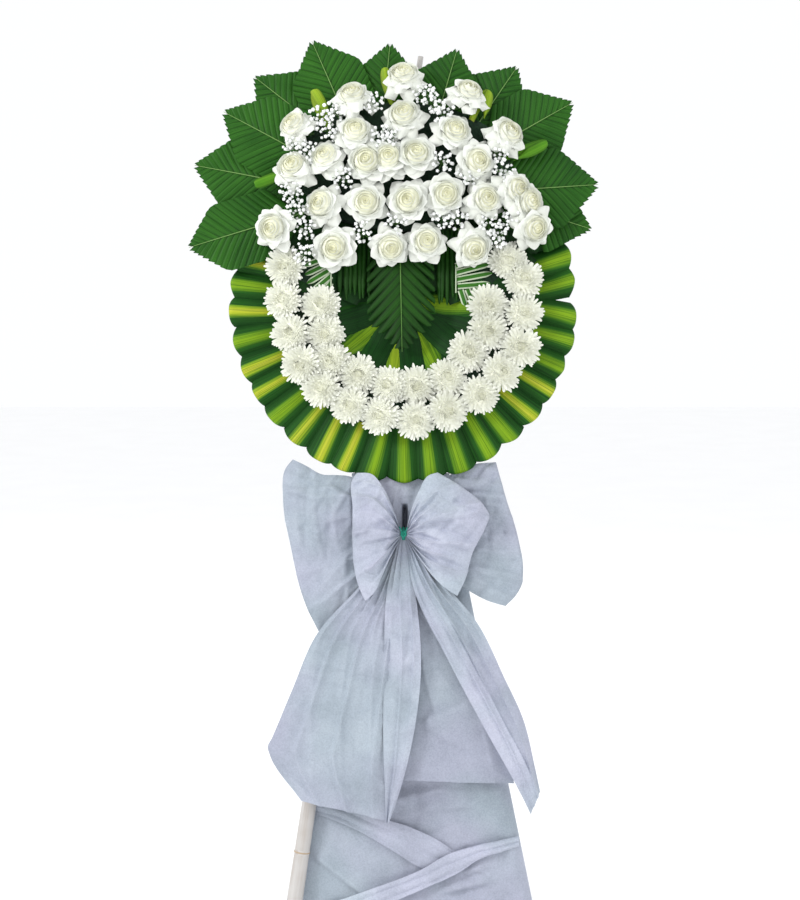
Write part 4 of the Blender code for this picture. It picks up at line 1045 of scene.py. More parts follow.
def build_gypsophila(sizes):
    rng = np.random.default_rng(21)
    florets, stems = Surface(), Surface()
    for x, y in GYPSOPHILA:
        base = rose_base(x, y)
        root = np.array((x * 0.93, DOME_CENTRE[1] + (y - DOME_CENTRE[1]) * 0.9, STEM_FOOT))
        fork = np.array((x, y, base + 8.0))
        stems.tube(straight_rod(root, fork, 4), 0.9, 5, 0.3)
        for k in range(sizes.florets):
            angle, spread = 2.4 * k + rng.uniform(0, 0.8), 24.0 * math.sqrt((k + 0.5) / sizes.florets)
            high = base + rng.uniform(12.0, 34.0)
            at = np.array((x + spread * math.cos(angle), y + spread * math.sin(angle), high))
            add_floret(florets, at, rng.uniform(2.8, 4.3), rng)
            middle = (fork + at) / 2 + rng.normal(0, 1.5, 3)
            stems.tube(np.stack([fork, middle, at]), 0.45, 4, 0.3)
    florets.build("gypsophila_florets", MATERIALS["floret"], "rose_petal")
    stems.build("gypsophila_stems", MATERIALS["stem"], "rose_petal")


# A chrysanthemum head: its petals, the turn from one to the next, and its height over the board.
MUM_PETALS = 165
MUM_TURN = math.radians(137.508)
MUM_LEVEL = 39.0

# The core under its petals: height and radius of each ring.
MUM_CORE = (-4.0 + 29.0 * np.linspace(0.0, 1.0, 7), np.array([3.0, 9.0, 22.0, 24.0, 20.5, 12.5, 0.5]))


def add_mum(body, x, y, rng):
    """A chrysanthemum head: narrow channelled petals spiral in from flat to folded over the middle."""
    out = np.array((x, y)) / 250.0
    tilt = (-out[1] * 0.16 + rng.normal(0, 0.07), out[0] * 0.16 + rng.normal(0, 0.07))
    size, turn = rng.uniform(0.97, 1.06), rng.uniform(0, math.tau)
    t = np.linspace(0.0, 1.0, 7)[:, None]
    s = np.linspace(-1.0, 1.0, 5)[None, :]
    for i in range(MUM_PETALS):
        share = i / (MUM_PETALS - 1)
        angle = i * MUM_TURN + rng.normal(0, 0.05)
        open_angle = math.radians(101.0 - 94.0 * share**0.85) + rng.normal(0, 0.06)
        radius = 42.0 * rng.uniform(0.92, 1.10) if share < 0.45 else 40.0 * rng.uniform(0.94, 1.05)
        tip = np.array((radius * math.sin(open_angle), 6.0 + 27.0 * math.cos(open_angle)))
        root = np.array((2.0 + 5.0 * (1 - share), 4.0))
        control = np.array((tip[0] * 0.72 + 7.0 * share * math.sin(open_angle) + 2.0, 3.0 + tip[1] * 0.50))
        path = root * (1 - t) ** 2 + control * 2 * t * (1 - t) + tip * t**2
        along = path[:, :1]
        half = (3.1 - 0.7 * share) * np.sin(math.pi * (0.14 + 0.70 * t)) ** 0.6
        side = half * (1.0 - 0.35 * smoothstep(0.88, 1.0, t)) * s
        high = path[:, 1:] + 0.9 * s * s * (1.0 - 0.3 * t)
        c, sn = math.cos(angle), math.sin(angle)
        points = stacked(along * c - side * sn, along * sn + side * c, high) * size
        cream = (0.45 + 0.55 * t) * (1.0 - 0.55 * smoothstep(0.80, 1.0, share))
        body.grid(placed(points, (x, y, MUM_LEVEL), tilt, turn), cream, s, rng.uniform(0, 1))
    height, radius = MUM_CORE
    body.tube(placed(stacked(0.0, 0.0, height), (x, y, MUM_LEVEL), tilt, turn), radius, 14, 0.5)
    body.values["along"][-1] = np.full(len(height) * 14, 0.45)


def build_mums(sizes):
    for i, group in enumerate(MUM_GROUPS):
        rng = np.random.default_rng(200 + i)
        body = Surface()
        for x, y in group:
            add_mum(body, x, y, rng)
        body.build(f"chrysanthemum_heads_{i + 1}", MATERIALS["mum"], "chrysanthemum_petal",
                   [f"chrysanthemum_group_{i + 1}"])


# Cloth


def creases(flat, rng, height, longest, number):
    """Sharp small creases over a sheet: ridges in several directions that come and go."""
    x, y = flat[..., 0], flat[..., 1]
    lift = np.zeros(x.shape)
    for _ in range(number):
        angle, wave = rng.uniform(0, math.pi), longest * rng.uniform(0.35, 1.0)
        bend = 14.0 * np.sin((x * math.sin(angle) - y * math.cos(angle)) / (wave * 1.7) + rng.uniform(0, 6))
        across = (x * math.cos(angle) + y * math.sin(angle) + bend) / wave * math.pi
        ridge = np.exp(-(np.sin(across + rng.uniform(0, 6)) / 0.28) ** 2)
        patch = np.sin(x / (wave * 1.9) + rng.uniform(0, 6)) * np.sin(y / (wave * 2.3) + rng.uniform(0, 6))
        lift += rng.choice((-1.0, 1.0)) * height * ridge * np.clip(patch + 0.2, 0, 1)
    return lift


def ridges(flat, folds):
    """Folds from one point to another: steep on the right of their way, long on the left."""
    x, y = flat[..., 0], flat[..., 1]
    lift = np.zeros(x.shape)
    for x0, y0, x1, y1, wide, strength in folds:
        length = math.hypot(x1 - x0, y1 - y0)
        way = ((x1 - x0) / length, (y1 - y0) / length)
        u = (x - x0) * way[0] + (y - y0) * way[1]
        v = -(x - x0) * way[1] + (y - y0) * way[0]
        ends = smoothstep(-length * 0.15, length * 0.1, u) * (1 - smoothstep(length * 0.9, length * 1.15, u))
        lift += strength * ends * np.where(v > 0, np.exp(-(v / wide) ** 2), np.exp(-(v / (wide * 0.22)) ** 2))
    return lift


# Single folds of the cloth pieces: from, to, width and height of each ridge.
CLOTH_FOLDS = {
    "front_bow": [
        (24, -462, 176, -436, 18, 8), (22, -474, 150, -520, 16, 7), (16, -484, 124, -590, 14, 7),
        (-70, -420, -18, -470, 16, 8), (-84, -500, -20, -486, 14, 7), (-70, -560, -18, -492, 12, 6),
    ],
    "back_bow": [
        (-108, -522, -194, -620, 34, 10), (-146, -386, -250, -391, 14, 5), (-104, -410, -150, -384, 10, 6),
        (-104, -486, -192, -486, 12, 5), (249, -570, 144, -551, 12, 7), (236, -625, 136, -568, 28, 9),
    ],
    "tail_under": [(150, -820, 47, -872, 30, 10), (70, -900, 190, -960, 24, 4)],
    "tail_left": [(-60, -690, -68, -1010, 40, 6), (-196, -700, -190, -960, 30, 4)],
    "leg_wrap_cloth": [
        (-190, -1160, -20, -1290, 16, 10), (120, -1190, 268, -1150, 16, 14), (90, -1228, 262, -1185, 16, 14),
        (150, -1258, 266, -1216, 13, 13), (60, -1275, 200, -1243, 12, 10), (-60, -1000, 210, -1010, 18, 6),
        (-20, -1045, 90, -1020, 12, 9), (60, -1060, 200, -1050, 20, 5),
    ],
}

# Loops of the two bows: upper edge, lower edge, folded end, depth, bulge, pleats and tint; the tint is
# painted light and shade, darker for the back bow behind the front one.
BOW_LOOPS = [
    ("front_bow", "bow_front", 0.75, [
        ([(-5, -478), (-20, -436), (-42, -388), (-66, -360), (-98, -357)],
         [(-5, -490), (-25, -528), (-44, -570), (-62, -606), (-80, -622)],
         [(-98, -357), (-106, -368), (-107, -430), (-107, -500), (-104, -550), (-90, -602), (-80, -622)],
         22.0, 26.0, 7, 0.0),
        ([(5, -478), (14, -440), (32, -394), (50, -364), (72, -356)],
         [(5, -490), (30, -530), (60, -570), (88, -596), (112, -612)],
         [(72, -356), (120, -384), (172, -428), (181, -444), (172, -470), (145, -522), (128, -580),
          (112, -612)],
         22.0, 30.0, 9, 0.1),
    ]),
    ("back_bow", "bow_back", 0.25, [
        ([(-5, -478), (-60, -404), (-112, -364), (-142, -361), (-169, -360), (-205, -341), (-234, -327)],
         [(-5, -490), (-70, -575), (-123, -632), (-156, -672), (-178, -690)],
         [(-234, -327), (-249, -345), (-255, -408), (-238, -513), (-207, -631), (-178, -690)],
         -13.0, 10.0, 9, 0.0),
        ([(5, -478), (60, -404), (104, -356), (150, -338), (196, -334)],
         [(5, -490), (77, -560), (129, -598), (173, -622), (215, -635)],
         [(196, -334), (217, -409), (242, -490), (253, -566), (250, -590), (238, -612), (215, -635)],
         -13.0, 10.0, 9, 0.1),
    ]),
]

# How far the pleats of a bow and the folds of a tail run before they fade, in turn.
PLEAT_RUNS = (0.65, 1.4, 0.9, 1.9)
TAIL_RUNS = (0.6, 1.5, 0.9, 2.0)


def bow_loop(body, top, bottom, edge, depth, bulge, pleats, folds, rng, tint):
    """One loop of the bow: out from the knot, round the fold, and back behind."""
    rows, columns = 110, 81
    turn = np.linspace(0.0, 2.0, rows)
    facing = turn <= 1.0
    s = 1.0 - np.abs(turn - 1.0)
    q = np.linspace(0.0, 1.0, columns)
    straight = np.array(top[-1]) * (1 - q)[:, None] + np.array(bottom[-1]) * q[:, None]
    flat = between(along_line(top, s), along_line(bottom, s), q)
    flat = flat + (along_line(edge, q) - straight)[None] * (s**3)[:, None, None]
    open_out = np.sqrt(np.clip(1.0 - s**5, 0, 1)) * np.sin(math.pi * np.clip(s, 0, 1) * 0.62) ** 0.8
    crown = np.sin(math.pi * (0.06 + 0.88 * q))[None, :] ** 0.5
    z = depth + np.where(facing, 1.0, -0.55)[:, None] * bulge * open_out[:, None] * crown
    ripple = np.zeros((rows, columns))
    centres = (np.arange(pleats) + 0.5) / pleats + rng.normal(0, 0.025, pleats)
    for k, centre in enumerate(centres):
        wide, strength = rng.uniform(0.22, 0.40) / pleats, rng.uniform(0.6, 1.0) * (5.5 + 0.30 * bulge)
        run = PLEAT_RUNS[k % 4]
        away = q[None] - centre - rng.normal(0, 0.04) * s[:, None]
        away = np.abs(away) / (wide * np.where(away > 0, 1.0, 0.35))
        fade = (smoothstep(0.0, 0.10, s) * (1.0 - smoothstep(run * 0.5, run, s) * 0.92))[:, None]
        ripple += strength * fade * np.exp(-(away**1.4))
    rise = smoothstep(0.08, 0.35, s)[:, None] * (1.0 - smoothstep(0.94, 1.0, s))[:, None]
    ripple += (creases(flat + rng.uniform(0, 500), rng, 4.4, 80.0, 11) + ridges(flat, folds)) * rise
    z = z + ripple * np.where(facing, 1.0, -0.3)[:, None]
    body.grid(stacked(flat[..., 0], flat[..., 1], z), turn[:, None] / 2.0, 2 * q[None] - 1, tint)


def build_bow_backing(rng):
    """Cloth behind the knot, with a slot down its middle."""
    q, t = np.linspace(-1.0, 1.0, 81)[None], np.linspace(0.0, 1.0, 60)[:, None]
    x = -6.0 + (6.0 + 96.0 * np.sin(math.pi * 0.5 * t) ** 1.1) * q
    y = (-490.0 + 142.0 * t) - 10.0 * (q**2) * t
    z = -4.0 * t + 5.0 * np.abs(np.sin(q * 9.0)) * (1.0 - 0.7 * t)
    z = z + creases(np.stack([x, y], axis=-1), rng, 2.0, 60.0, 5)
    slot = smoothstep(-480.0, -470.0, y) * (1.0 - smoothstep(-432.0, -420.0, y))
    z = z - 52.0 * np.exp(-(((x - 3.0) / 5.0) ** 4)) * slot
    body = Surface()
    body.grid(stacked(x, y, z), t, q, 0.5)
    return body.build("bow_backing", MATERIALS["cloth"], "cloth")


def build_bow(sizes):
    rng = np.random.default_rng(31)
    pieces = []
    for name, replaced, tint, loops in BOW_LOOPS:
        body = Surface()
        for top, bottom, edge, depth, bulge, pleats, share in loops:
            bow_loop(body, top, bottom, edge, depth, bulge, pleats, CLOTH_FOLDS[name], rng, tint + share)
        pieces.append(body.build(name, MATERIALS["cloth"], "cloth", [replaced]))
    return [*pieces, build_bow_backing(rng)]


# Hanging panels: name, nodes replaced, left edge, right edge, depth, folds, tint, fold strength and hem; the
# tint is painted shade, darkest for the panel under the others.
TAIL_PANELS = [
    ("tail_under", [], [(-8, -486), (-60, -620), (-120, -800), (-60, -994)],
     [(8, -486), (74, -590), (132, -680), (180, -800), (214, -900), (222, -950), (229, -1000)],
     -6.0, 7, 0.05, 0.7, 0.0),
    ("tail_left", ["bow_tails"],
     [(-8, -486), (-90, -590), (-180, -692), (-232, -810), (-272, -905), (-281, -925), (-277, -938),
      (-211, -1034)],
     [(4, -486), (4, -580), (-4, -700), (-16, -860), (-26, -980), (-30, -1030), (-33, -1074)],
     5.0, 7, 0.35, 1.0, 0.0),
    ("tail_middle", [], [(-8, -486), (-34, -600), (-40, -760), (-42, -900), (-38, -1020), (-36, -1076)],
     [(6, -486), (24, -600), (36, -760), (20, -900), (-10, -1020), (-30, -1078)],
     13.0, 3, 0.55, 1.0, 0.0),
    ("tail_right", [],
     [(-2, -486), (22, -600), (90, -740), (165, -880), (232, -1000), (250, -1035), (261, -1058)],
     [(9, -486), (84, -585), (152, -667), (208, -780), (247, -866), (270, -960), (281, -1013)],
     12.0, 5, 0.3, 0.9, 44.0),
]


def tail_panel(body, left, right, depth, folds, single, rng, tint, strength, hem):
    """A hanging panel between two edges, with folds that spread from the knot and a folded hem."""
    rows, columns = 130, 91
    t, q = np.linspace(0.0, 1.0, rows), np.linspace(0.0, 1.0, columns)
    a, b = along_line(left, t), along_line(right, t)
    flat = between(a, b, q)
    z = np.full((rows, columns), float(depth))
    for k in range(folds):
        centre = (k + 0.5) / folds + rng.normal(0, 0.03)
        wide = rng.uniform(0.25, 0.42) / folds
        drift = rng.normal(0, 0.05)
        high = rng.uniform(4.0, 9.0) * strength
        run = TAIL_RUNS[k % 4]
        away = q[None] - centre - drift * t[:, None]
        away = np.abs(away) / (wide * (0.8 + 0.5 * t[:, None]) * np.where(away > 0, 1.0, 0.3))
        fade = smoothstep(0.0, 0.08, t) * (1 - smoothstep(run * 0.5, run, t))
        z += high * np.exp(-(away**1.4)) * fade[:, None]
    wrinkles = creases(flat + rng.uniform(0, 500), rng, 3.2 * strength, 150.0, 10)
    z += wrinkles * smoothstep(0.05, 0.3, t)[:, None]
    z += ridges(flat, single)
    z += 2.5 * np.sin(7 * t[:, None] + 9 * q[None] + rng.uniform(0, 6)) * smoothstep(0.1, 0.5, t)[:, None]
    shade = np.full((rows, columns), float(tint))
    if hem:
        wide = np.linalg.norm(b - a, axis=1)[:, None] * q[None]
        band = 1.0 - smoothstep(hem * 0.9, hem, wide)
        z += 4.0 * band * smoothstep(0.05, 0.15, t)[:, None]
        z += 3.0 * np.exp(-(((wide - hem * 0.45) / 7.0) ** 2))
        # The folded hem is painted lighter: painted light on the fold.
        shade += 0.45 * band
    body.grid(stacked(flat[..., 0], flat[..., 1], z), t[:, None], 2 * q[None] - 1, shade)


def build_tails(sizes):
    rng = np.random.default_rng(47)
    pieces = []
    for name, replaced, left, right, depth, folds, tint, strength, hem in TAIL_PANELS:
        body = Surface()
        tail_panel(body, left, right, depth, folds, CLOTH_FOLDS.get(name, ()), rng, tint, strength, hem)
        pieces.append(body.build(name, MATERIALS["cloth"], "cloth", replaced))
    return pieces


# The front poles on the layout: heights of foot and tip, and the x of each foot and its run to the tip.
FOOT_Y, TIP_Y = -1322.0, 534.0
LEFT_FOOT_X, LEFT_RUN = -238.0, 275.0
RIGHT_FOOT_X, RIGHT_RUN = 256.0, -363.0
POLE_Z = -42.5

# Radius of those poles at the foot, how much they taper, and how far the right one sets back over a run.
POLE_RADIUS, POLE_TAPER = 17.0, 11.0
SETBACK, SETBACK_RUN = 17.3, 1449.0

# Upper and lower edge of the wrap, and the heights between which its right half is painted darker, a painted
# shadow.
WRAP_TOP, WRAP_BOTTOM = -545.0, -1285.0
PAINTED_SHADOW_BAND = ((-1135.0, -1110.0), (-1010.0, -1000.0))

# Bands wound over the wrap: name, upper edge, lower edge, tint and height over it; the tints paint the bands
# lighter than the wrap, the lower one most, as painted light.
WRAP_BANDS = [
    ("wrap_band_upper", [(-213, -1024), (-156, -1036), (-73, -1070), (20, -1098), (74, -1122), (112, -1148)],
     [(-206, -1064), (-148, -1083), (-89, -1108), (-24, -1144), (46, -1182), (90, -1186)], 0.6, 10.0),
    ("wrap_band_lower", [(-170, -1262), (-90, -1231), (35, -1181), (93, -1147), (150, -1128), (240, -1112)],
     [(-120, -1290), (-32, -1252), (51, -1215), (113, -1185), (155, -1158), (240, -1134)], 0.95, 18.0),
]
BAND_END = 4.0


def wrap_section(y, columns):
    """Points of the wrap at one height: behind the left pole, across, and round the right one."""
    share = (y - FOOT_Y) / (TIP_Y - FOOT_Y)
    radius = POLE_RADIUS - POLE_TAPER * share
    left_x, right_x = LEFT_FOOT_X + LEFT_RUN * share, RIGHT_FOOT_X + RIGHT_RUN * share
    right_z = POLE_Z - SETBACK * (y - FOOT_Y) / SETBACK_RUN
    clear = radius * 1.14 + 1.5
    return along_line([
        (left_x - radius * 0.8, POLE_Z - clear), (left_x + radius + 8.0, POLE_Z - clear + 2.0),
        ((left_x + right_x) / 2, -44.0), (right_x - radius - 6.0, right_z + clear),
        (right_x + radius * 0.5, right_z + clear + 0.5), (right_x + clear + 7.0, right_z + 2.0),
        (right_x + radius * 0.5, right_z - clear - 0.5),
    ], np.linspace(0.0, 1.0, columns))


def wrap_height(x, y):
    """Height of the wrap's front at a point."""
    section = wrap_section(y, 60)[:42]
    return np.interp(x, section[:, 0], section[:, 1])


def wrap_band(name, upper, lower, tint, over, rng):
    """A folded band laid over the wrap from edge to edge, lowest at its ends."""
    t, q = np.linspace(0.0, 1.0, 90), np.linspace(0.0, 1.0, 31)
    flat = between(along_line(upper, t), along_line(lower, t), q)
    under = np.array([[wrap_height(x, y) for x, y in row] for row in flat])
    pleat = 3.5 * np.abs(np.sin(2.2 * math.pi * q[None] + 0.8 * np.sin(5 * t[:, None])))
    ends = (smoothstep(0.0, 0.14, t) * (1.0 - smoothstep(0.86, 1.0, t)))[:, None]
    high = BAND_END + (over - BAND_END) * ends + pleat + creases(flat, rng, 1.6, 70.0, 6)
    body = Surface()
    body.grid(stacked(flat[..., 0], flat[..., 1], under + high), t[:, None], 2 * q[None] - 1, tint)
    return body.build(name, MATERIALS["cloth"], "cloth")


def build_wrap(sizes):
    """Cloth behind the left pole and round the right one, with bands wound across it."""
    rng = np.random.default_rng(53)
    rows, columns = 130, 140
    height = np.linspace(WRAP_TOP, WRAP_BOTTOM, rows)
    section = np.stack([wrap_section(value, columns) for value in height])
    x, z = section[..., 0], section[..., 1]
    y = height[:, None] * np.ones_like(x)
    flat = np.stack([x, y], axis=-1)
    lift = creases(flat, rng, 3.0, 140.0, 8) + ridges(flat, CLOTH_FOLDS["leg_wrap_cloth"])
    share = np.linspace(0, 1, columns)
    inside = (smoothstep(0.0, 0.12, share) * (1 - smoothstep(0.70, 0.84, share)))[None]
    lower, upper = PAINTED_SHADOW_BAND
    dark = smoothstep(*lower, y) * (1.0 - smoothstep(*upper, y)) * smoothstep(-40.0, 40.0, x)
    along, across = np.linspace(0, 1, rows)[:, None], np.linspace(-1, 1, columns)[None]
    body = Surface()
    # The wrap's tint paints a shadow across its right half between those heights.
    body.grid(stacked(x, y, z + lift * inside), along, across, 0.4 - 0.35 * dark)
    cloth = body.build("leg_wrap_cloth", MATERIALS["cloth"], "cloth", ["leg_wrap"])
    return [cloth, *(wrap_band(*band, rng) for band in WRAP_BANDS)]


# The green string: height of the knot, front and back of its turns, half their height, and radii.
KNOT_Y = -484.0
STRING_FRONT, STRING_BACK, STRING_HALF = 26.0, -84.0, 13.5
STRING_RADIUS, KNOT_RADIUS, END_RADIUS = 1.2, 1.7, 1.4
STRING_PITCH = 2.2


def build_string(sizes):
    """Green string wound three times round the waist of the bow and knotted in front."""
    body = Surface()
    angle = np.linspace(0.0, math.tau, 49)
    c, s = np.cos(angle), np.sin(angle)
    z = (STRING_FRONT + STRING_BACK) / 2 + np.sign(s) * np.abs(s) ** 0.6 * (STRING_FRONT - STRING_BACK) / 2
    y = KNOT_Y + np.sign(c) * np.abs(c) ** 0.6 * STRING_HALF
    for k in range(3):
        body.tube(stacked(STRING_PITCH * (k - 1), y, z), STRING_RADIUS, 8, 0.2 * k)
    turn = np.linspace(0.0, math.tau * 1.4, 40)
    knot = stacked(5.0 * np.cos(turn), KNOT_Y + 5.0 * np.sin(turn), 27.5 + 2.0 * np.sin(turn * 2))
    body.tube(knot, KNOT_RADIUS, 8, 0.5)
    u = np.linspace(0.0, 1.0, 16)
    for way in (-1.0, 1.0):
        y = KNOT_Y + 3.0 + 20.0 * u - 8.0 * u * u
        end = stacked(way * (4.0 + 5.0 * u), y, 28.0 + 3.0 * np.sin(3 * u))
        body.tube(end, END_RADIUS, 8, 0.5)
    body.build("green_string_knot", MATERIALS["string"], "green_string", ["bow_string"])


# Nodes of the frame that stay as they are, and the finish of each.
KEPT = {"ring_foam": "foam", "rose_foam": "foam", "tie_left": "wire", "tie_right": "wire"}


def dress_kept_nodes():
    """Foam blocks and wire ties keep the frame's solids and get finished surfaces."""
    for name, key in KEPT.items():
        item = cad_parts[name]
        item.data.materials.clear()
        item.data.materials.append(MATERIALS[key])


# Stage

# The floor: how far it reaches each way and how far it lies under the feet, in metres.
FLOOR_REACH, FLOOR_DROP = 12.0, 0.0005

# Lights: name, place, point aimed at, size, and power as a share of the key light's.
LIGHTS = [
    ("key", (-2.7, -2.4, 2.7), (0.0, -0.3, 1.1), 0.9, 1.0),
    ("side", (2.6, -2.2, 2.2), (0.0, -0.3, 1.1), 1.8, 0.35),
    ("rim", (0.6, 2.8, 3.0), (0.0, -0.3, 1.2), 1.5, 0.4),
]
FILL_COLOUR = (0.975, 0.985, 1.0, 1.0)

# The camera: its lens in millimetres, and in metres its x, its height and how far it is from the board.
CAMERA_LENS = 57.0
CAMERA_ASIDE, CAMERA_HIGH, CAMERA_AWAY = 0.0137, 1.35, 3.0


def build_floor():
    edge = np.linspace(-FLOOR_REACH, FLOOR_REACH, 9)
    x, y = np.meshgrid(edge, edge)
    mesh = bpy.data.meshes.new("floor")
    mesh.from_pydata(stacked(x, y, -FLOOR_DROP).reshape(-1, 3).tolist(), [], grid_faces(9, 9).tolist())
    material, tree, shader = new_material("pale_floor", 0.7)
    grain = noise(tree, 3.0, None, 3.0)
    coloured(tree, shader, ramp(tree, grain, [(0.3, (0.96, 0.96, 0.96)), (0.7, (0.98, 0.98, 0.98))]))
    mesh.materials.append(material)
    item = link(bpy.data.objects.new("floor", mesh))


def build_lights(look):
    world = bpy.data.worlds.new("studio")
    world.use_nodes = True
    world.node_tree.nodes["Background"].inputs["Color"].default_value = FILL_COLOUR
    world.node_tree.nodes["Background"].inputs["Strength"].default_value = look.fill_light
    bpy.context.scene.world = world
    for name, place, aim, size, share in LIGHTS:
        data = bpy.data.lights.new(name, "AREA")
        data.size = size
        data.energy = look.key_light * share
        lamp = link(bpy.data.objects.new(name, data))
        lamp.location = place
        lamp.rotation_mode = "QUATERNION"
        lamp.rotation_quaternion = (Vector(place) - Vector(aim)).to_track_quat("Z", "Y")


def build_camera(look):
    camera = bpy.data.cameras.new("camera")
    camera.lens = CAMERA_LENS
    camera.sensor_width = 36.0
    item = link(bpy.data.objects.new("camera", camera))
    item.location = (CAMERA_ASIDE, BOARD_FRONT.y - CAMERA_AWAY, CAMERA_HIGH)
    item.rotation_euler = (math.radians(90.0 - look.camera_tilt), 0.0, 0.0)
    scene = bpy.context.scene
    scene.camera = item
    scene.view_settings.view_transform = "Standard"
    scene.view_settings.exposure = look.exposure


def build_stage(look):
    build_floor()
    build_lights(look)
    build_camera(look)


# Add-on


class WreathSizes(bpy.types.PropertyGroup):
    """Sizes that a user may change."""

    pole_foot_radius: bpy.props.FloatProperty(
        name="Pole foot radius", description="Radius of each bamboo pole at the floor", default=0.017,
        unit="LENGTH")
    culm_length: bpy.props.FloatProperty(
        name="Culm length", description="Distance between two joints of the bamboo", default=0.26,
        unit="LENGTH")
    cord_thickness: bpy.props.FloatProperty(
        name="Cord thickness", description="Diameter of the lashing cord", default=0.0035, unit="LENGTH")
    leaflet_pitch: bpy.props.FloatProperty(
        name="Leaflet pitch", description="Distance between palm leaflets along the rib, in millimetres",
        default=15.0)
    florets: bpy.props.IntProperty(
        name="Florets", description="Florets in each tuft of gypsophila", default=24)


class WreathLook(bpy.types.PropertyGroup):
    """Light and camera."""

    key_light: bpy.props.FloatProperty(
        name="Key light", description="Power of the large front light", default=62.0, unit="POWER")
    fill_light: bpy.props.FloatProperty(
        name="Fill light", description="Strength of the light from all round", default=1.02)
    exposure: bpy.props.FloatProperty(name="Exposure", description="Exposure in stops", default=0.0)
    camera_tilt: bpy.props.FloatProperty(
        name="Camera tilt", description="How far the camera looks down, in degrees", default=6.75)


class WreathStep:
    """What the wreath's operators share."""

    bl_options = {"REGISTER", "UNDO"}

    def execute(self, context):
        self.make(context.scene.wreath_sizes)
        return {"FINISHED"}


class WREATH_OT_materials(WreathStep, bpy.types.Operator):
    """Make the wreath's materials and dress the foam and wires"""

    bl_idname = "wreath.materials"
    bl_label = "Materials"

    def make(self, sizes):
        make_materials()
        dress_kept_nodes()


class WREATH_OT_stand(WreathStep, bpy.types.Operator):
    """Build the bamboo poles and the cross rail"""

    bl_idname = "wreath.stand"
    bl_label = "Stand"

    def make(self, sizes):
        build_poles(sizes)


class WREATH_OT_lashings(WreathStep, bpy.types.Operator):
    """Wind the cord lashings"""

    bl_idname = "wreath.lashings"
    bl_label = "Lashings"

    def make(self, sizes):
        build_lashings(sizes)


class WREATH_OT_board(WreathStep, bpy.types.Operator):
    """Build the round board"""

    bl_idname = "wreath.board"
    bl_label = "Board"

    def make(self, sizes):
        build_board(sizes)


class WREATH_OT_ruffle(WreathStep, bpy.types.Operator):
    """Fold the striped leaves round the rim"""

    bl_idname = "wreath.ruffle"
    bl_label = "Leaf ruffle"

    def make(self, sizes):
        build_ruffle(sizes)


class WREATH_OT_middle(WreathStep, bpy.types.Operator):
    """Lay the striped leaves that fill the middle"""

    bl_idname = "wreath.middle"
    bl_label = "Middle leaves"

    def make(self, sizes):
        build_centre_leaves(sizes)


class WREATH_OT_under(WreathStep, bpy.types.Operator):
    """Lay the broad leaves under the roses"""

    bl_idname = "wreath.under"
    bl_label = "Under leaves"

    def make(self, sizes):
        build_under_leaves(sizes)


class WREATH_OT_fronds(WreathStep, bpy.types.Operator):
    """Build the palm fronds"""

    bl_idname = "wreath.fronds"
    bl_label = "Palm fronds"

    def make(self, sizes):
        build_fronds(sizes)


class WREATH_OT_accents(WreathStep, bpy.types.Operator):
    """Build the yellow-green leaves between the roses"""

    bl_idname = "wreath.accents"
    bl_label = "Accent leaves"

    def make(self, sizes):
        build_accents(sizes)


class WREATH_OT_roses(WreathStep, bpy.types.Operator):
    """Build the roses and their stems"""

    bl_idname = "wreath.roses"
    bl_label = "Roses"

    def make(self, sizes):
        build_roses(sizes)


class WREATH_OT_gypsophila(WreathStep, bpy.types.Operator):
    """Fill the gaps between the roses with gypsophila"""

    bl_idname = "wreath.gypsophila"
    bl_label = "Gypsophila"

    def make(self, sizes):
        build_gypsophila(sizes)


class WREATH_OT_chrysanthemums(WreathStep, bpy.types.Operator):
    """Build the chrysanthemum heads"""

    bl_idname = "wreath.chrysanthemums"
    bl_label = "Chrysanthemums"

    def make(self, sizes):
        build_mums(sizes)


class WREATH_OT_cloth(WreathStep, bpy.types.Operator):
    """Build the bow, its tails and the cloth round the legs"""

    bl_idname = "wreath.cloth"
    bl_label = "Cloth"

    def make(self, sizes):
        for item in (*build_bow(sizes), *build_tails(sizes), *build_wrap(sizes)):
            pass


class WREATH_OT_string(WreathStep, bpy.types.Operator):
    """Tie the green string"""

    bl_idname = "wreath.string"
    bl_label = "String"

    def make(self, sizes):
        build_string(sizes)


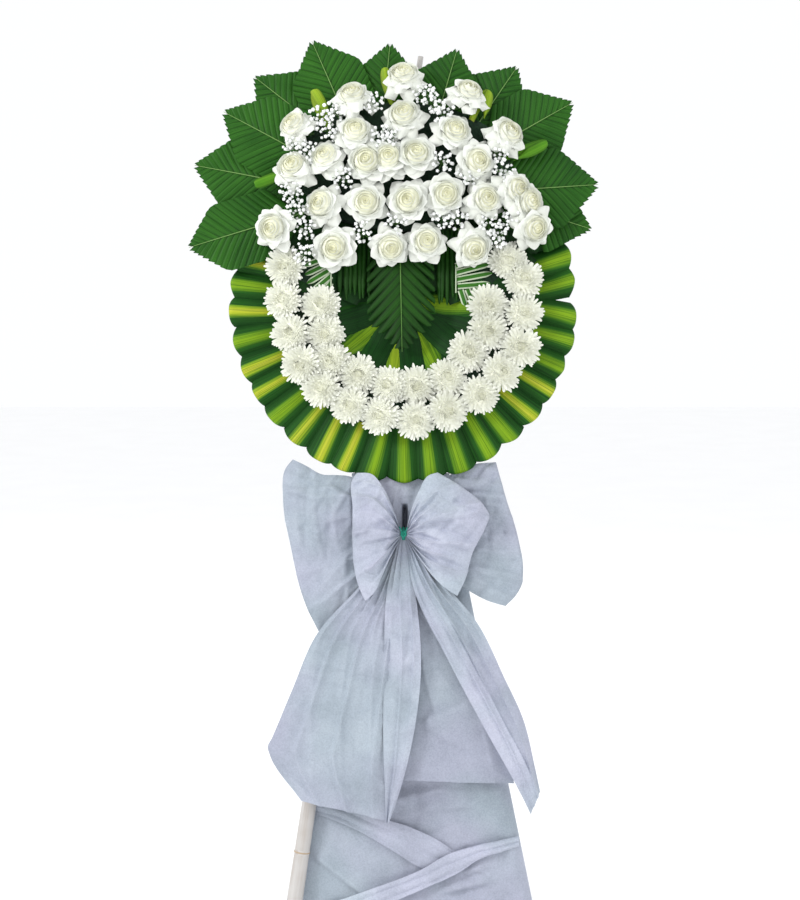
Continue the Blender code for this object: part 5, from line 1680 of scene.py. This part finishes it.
class WREATH_OT_stage(bpy.types.Operator):
    """Set the floor, the lights and the camera"""

    bl_idname = "wreath.stage"
    bl_label = "Stage"

    def execute(self, context):
        build_stage(context.scene.wreath_look)
        return {"FINISHED"}


STEPS = (
    WREATH_OT_materials, WREATH_OT_stand, WREATH_OT_lashings, WREATH_OT_board, WREATH_OT_ruffle,
    WREATH_OT_middle, WREATH_OT_under, WREATH_OT_fronds, WREATH_OT_accents, WREATH_OT_roses,
    WREATH_OT_gypsophila, WREATH_OT_chrysanthemums, WREATH_OT_cloth, WREATH_OT_string, WREATH_OT_stage,
)


class WREATH_PT_panel(bpy.types.Panel):
    """Lists the wreath's steps and sizes."""

    bl_label = "Wreath"
    bl_idname = "WREATH_PT_panel"
    bl_space_type = "VIEW_3D"
    bl_region_type = "UI"
    bl_category = "Wreath"

    def draw(self, context):
        for step in STEPS:
            self.layout.operator(step.bl_idname)
        for group in (context.scene.wreath_sizes, context.scene.wreath_look):
            for name in group.__annotations__:
                self.layout.prop(group, name)


CLASSES = (WreathSizes, WreathLook, *STEPS, WREATH_PT_panel)


def register():
    for made in CLASSES:
        bpy.utils.register_class(made)
    bpy.types.Scene.wreath_sizes = bpy.props.PointerProperty(type=WreathSizes)
    bpy.types.Scene.wreath_look = bpy.props.PointerProperty(type=WreathLook)


def unregister():
    del bpy.types.Scene.wreath_look
    del bpy.types.Scene.wreath_sizes
    for made in reversed(CLASSES):
        bpy.utils.unregister_class(made)


def main():
    register()
    bpy.ops.wreath.materials()
    bpy.ops.wreath.stand()
    bpy.ops.wreath.lashings()
    bpy.ops.wreath.board()
    bpy.ops.wreath.ruffle()
    bpy.ops.wreath.middle()
    bpy.ops.wreath.under()
    bpy.ops.wreath.fronds()
    bpy.ops.wreath.accents()
    bpy.ops.wreath.roses()
    bpy.ops.wreath.gypsophila()
    bpy.ops.wreath.chrysanthemums()
    bpy.ops.wreath.cloth()
    bpy.ops.wreath.string()
    bpy.ops.wreath.stage()


if __name__ == "__main__":
    main()
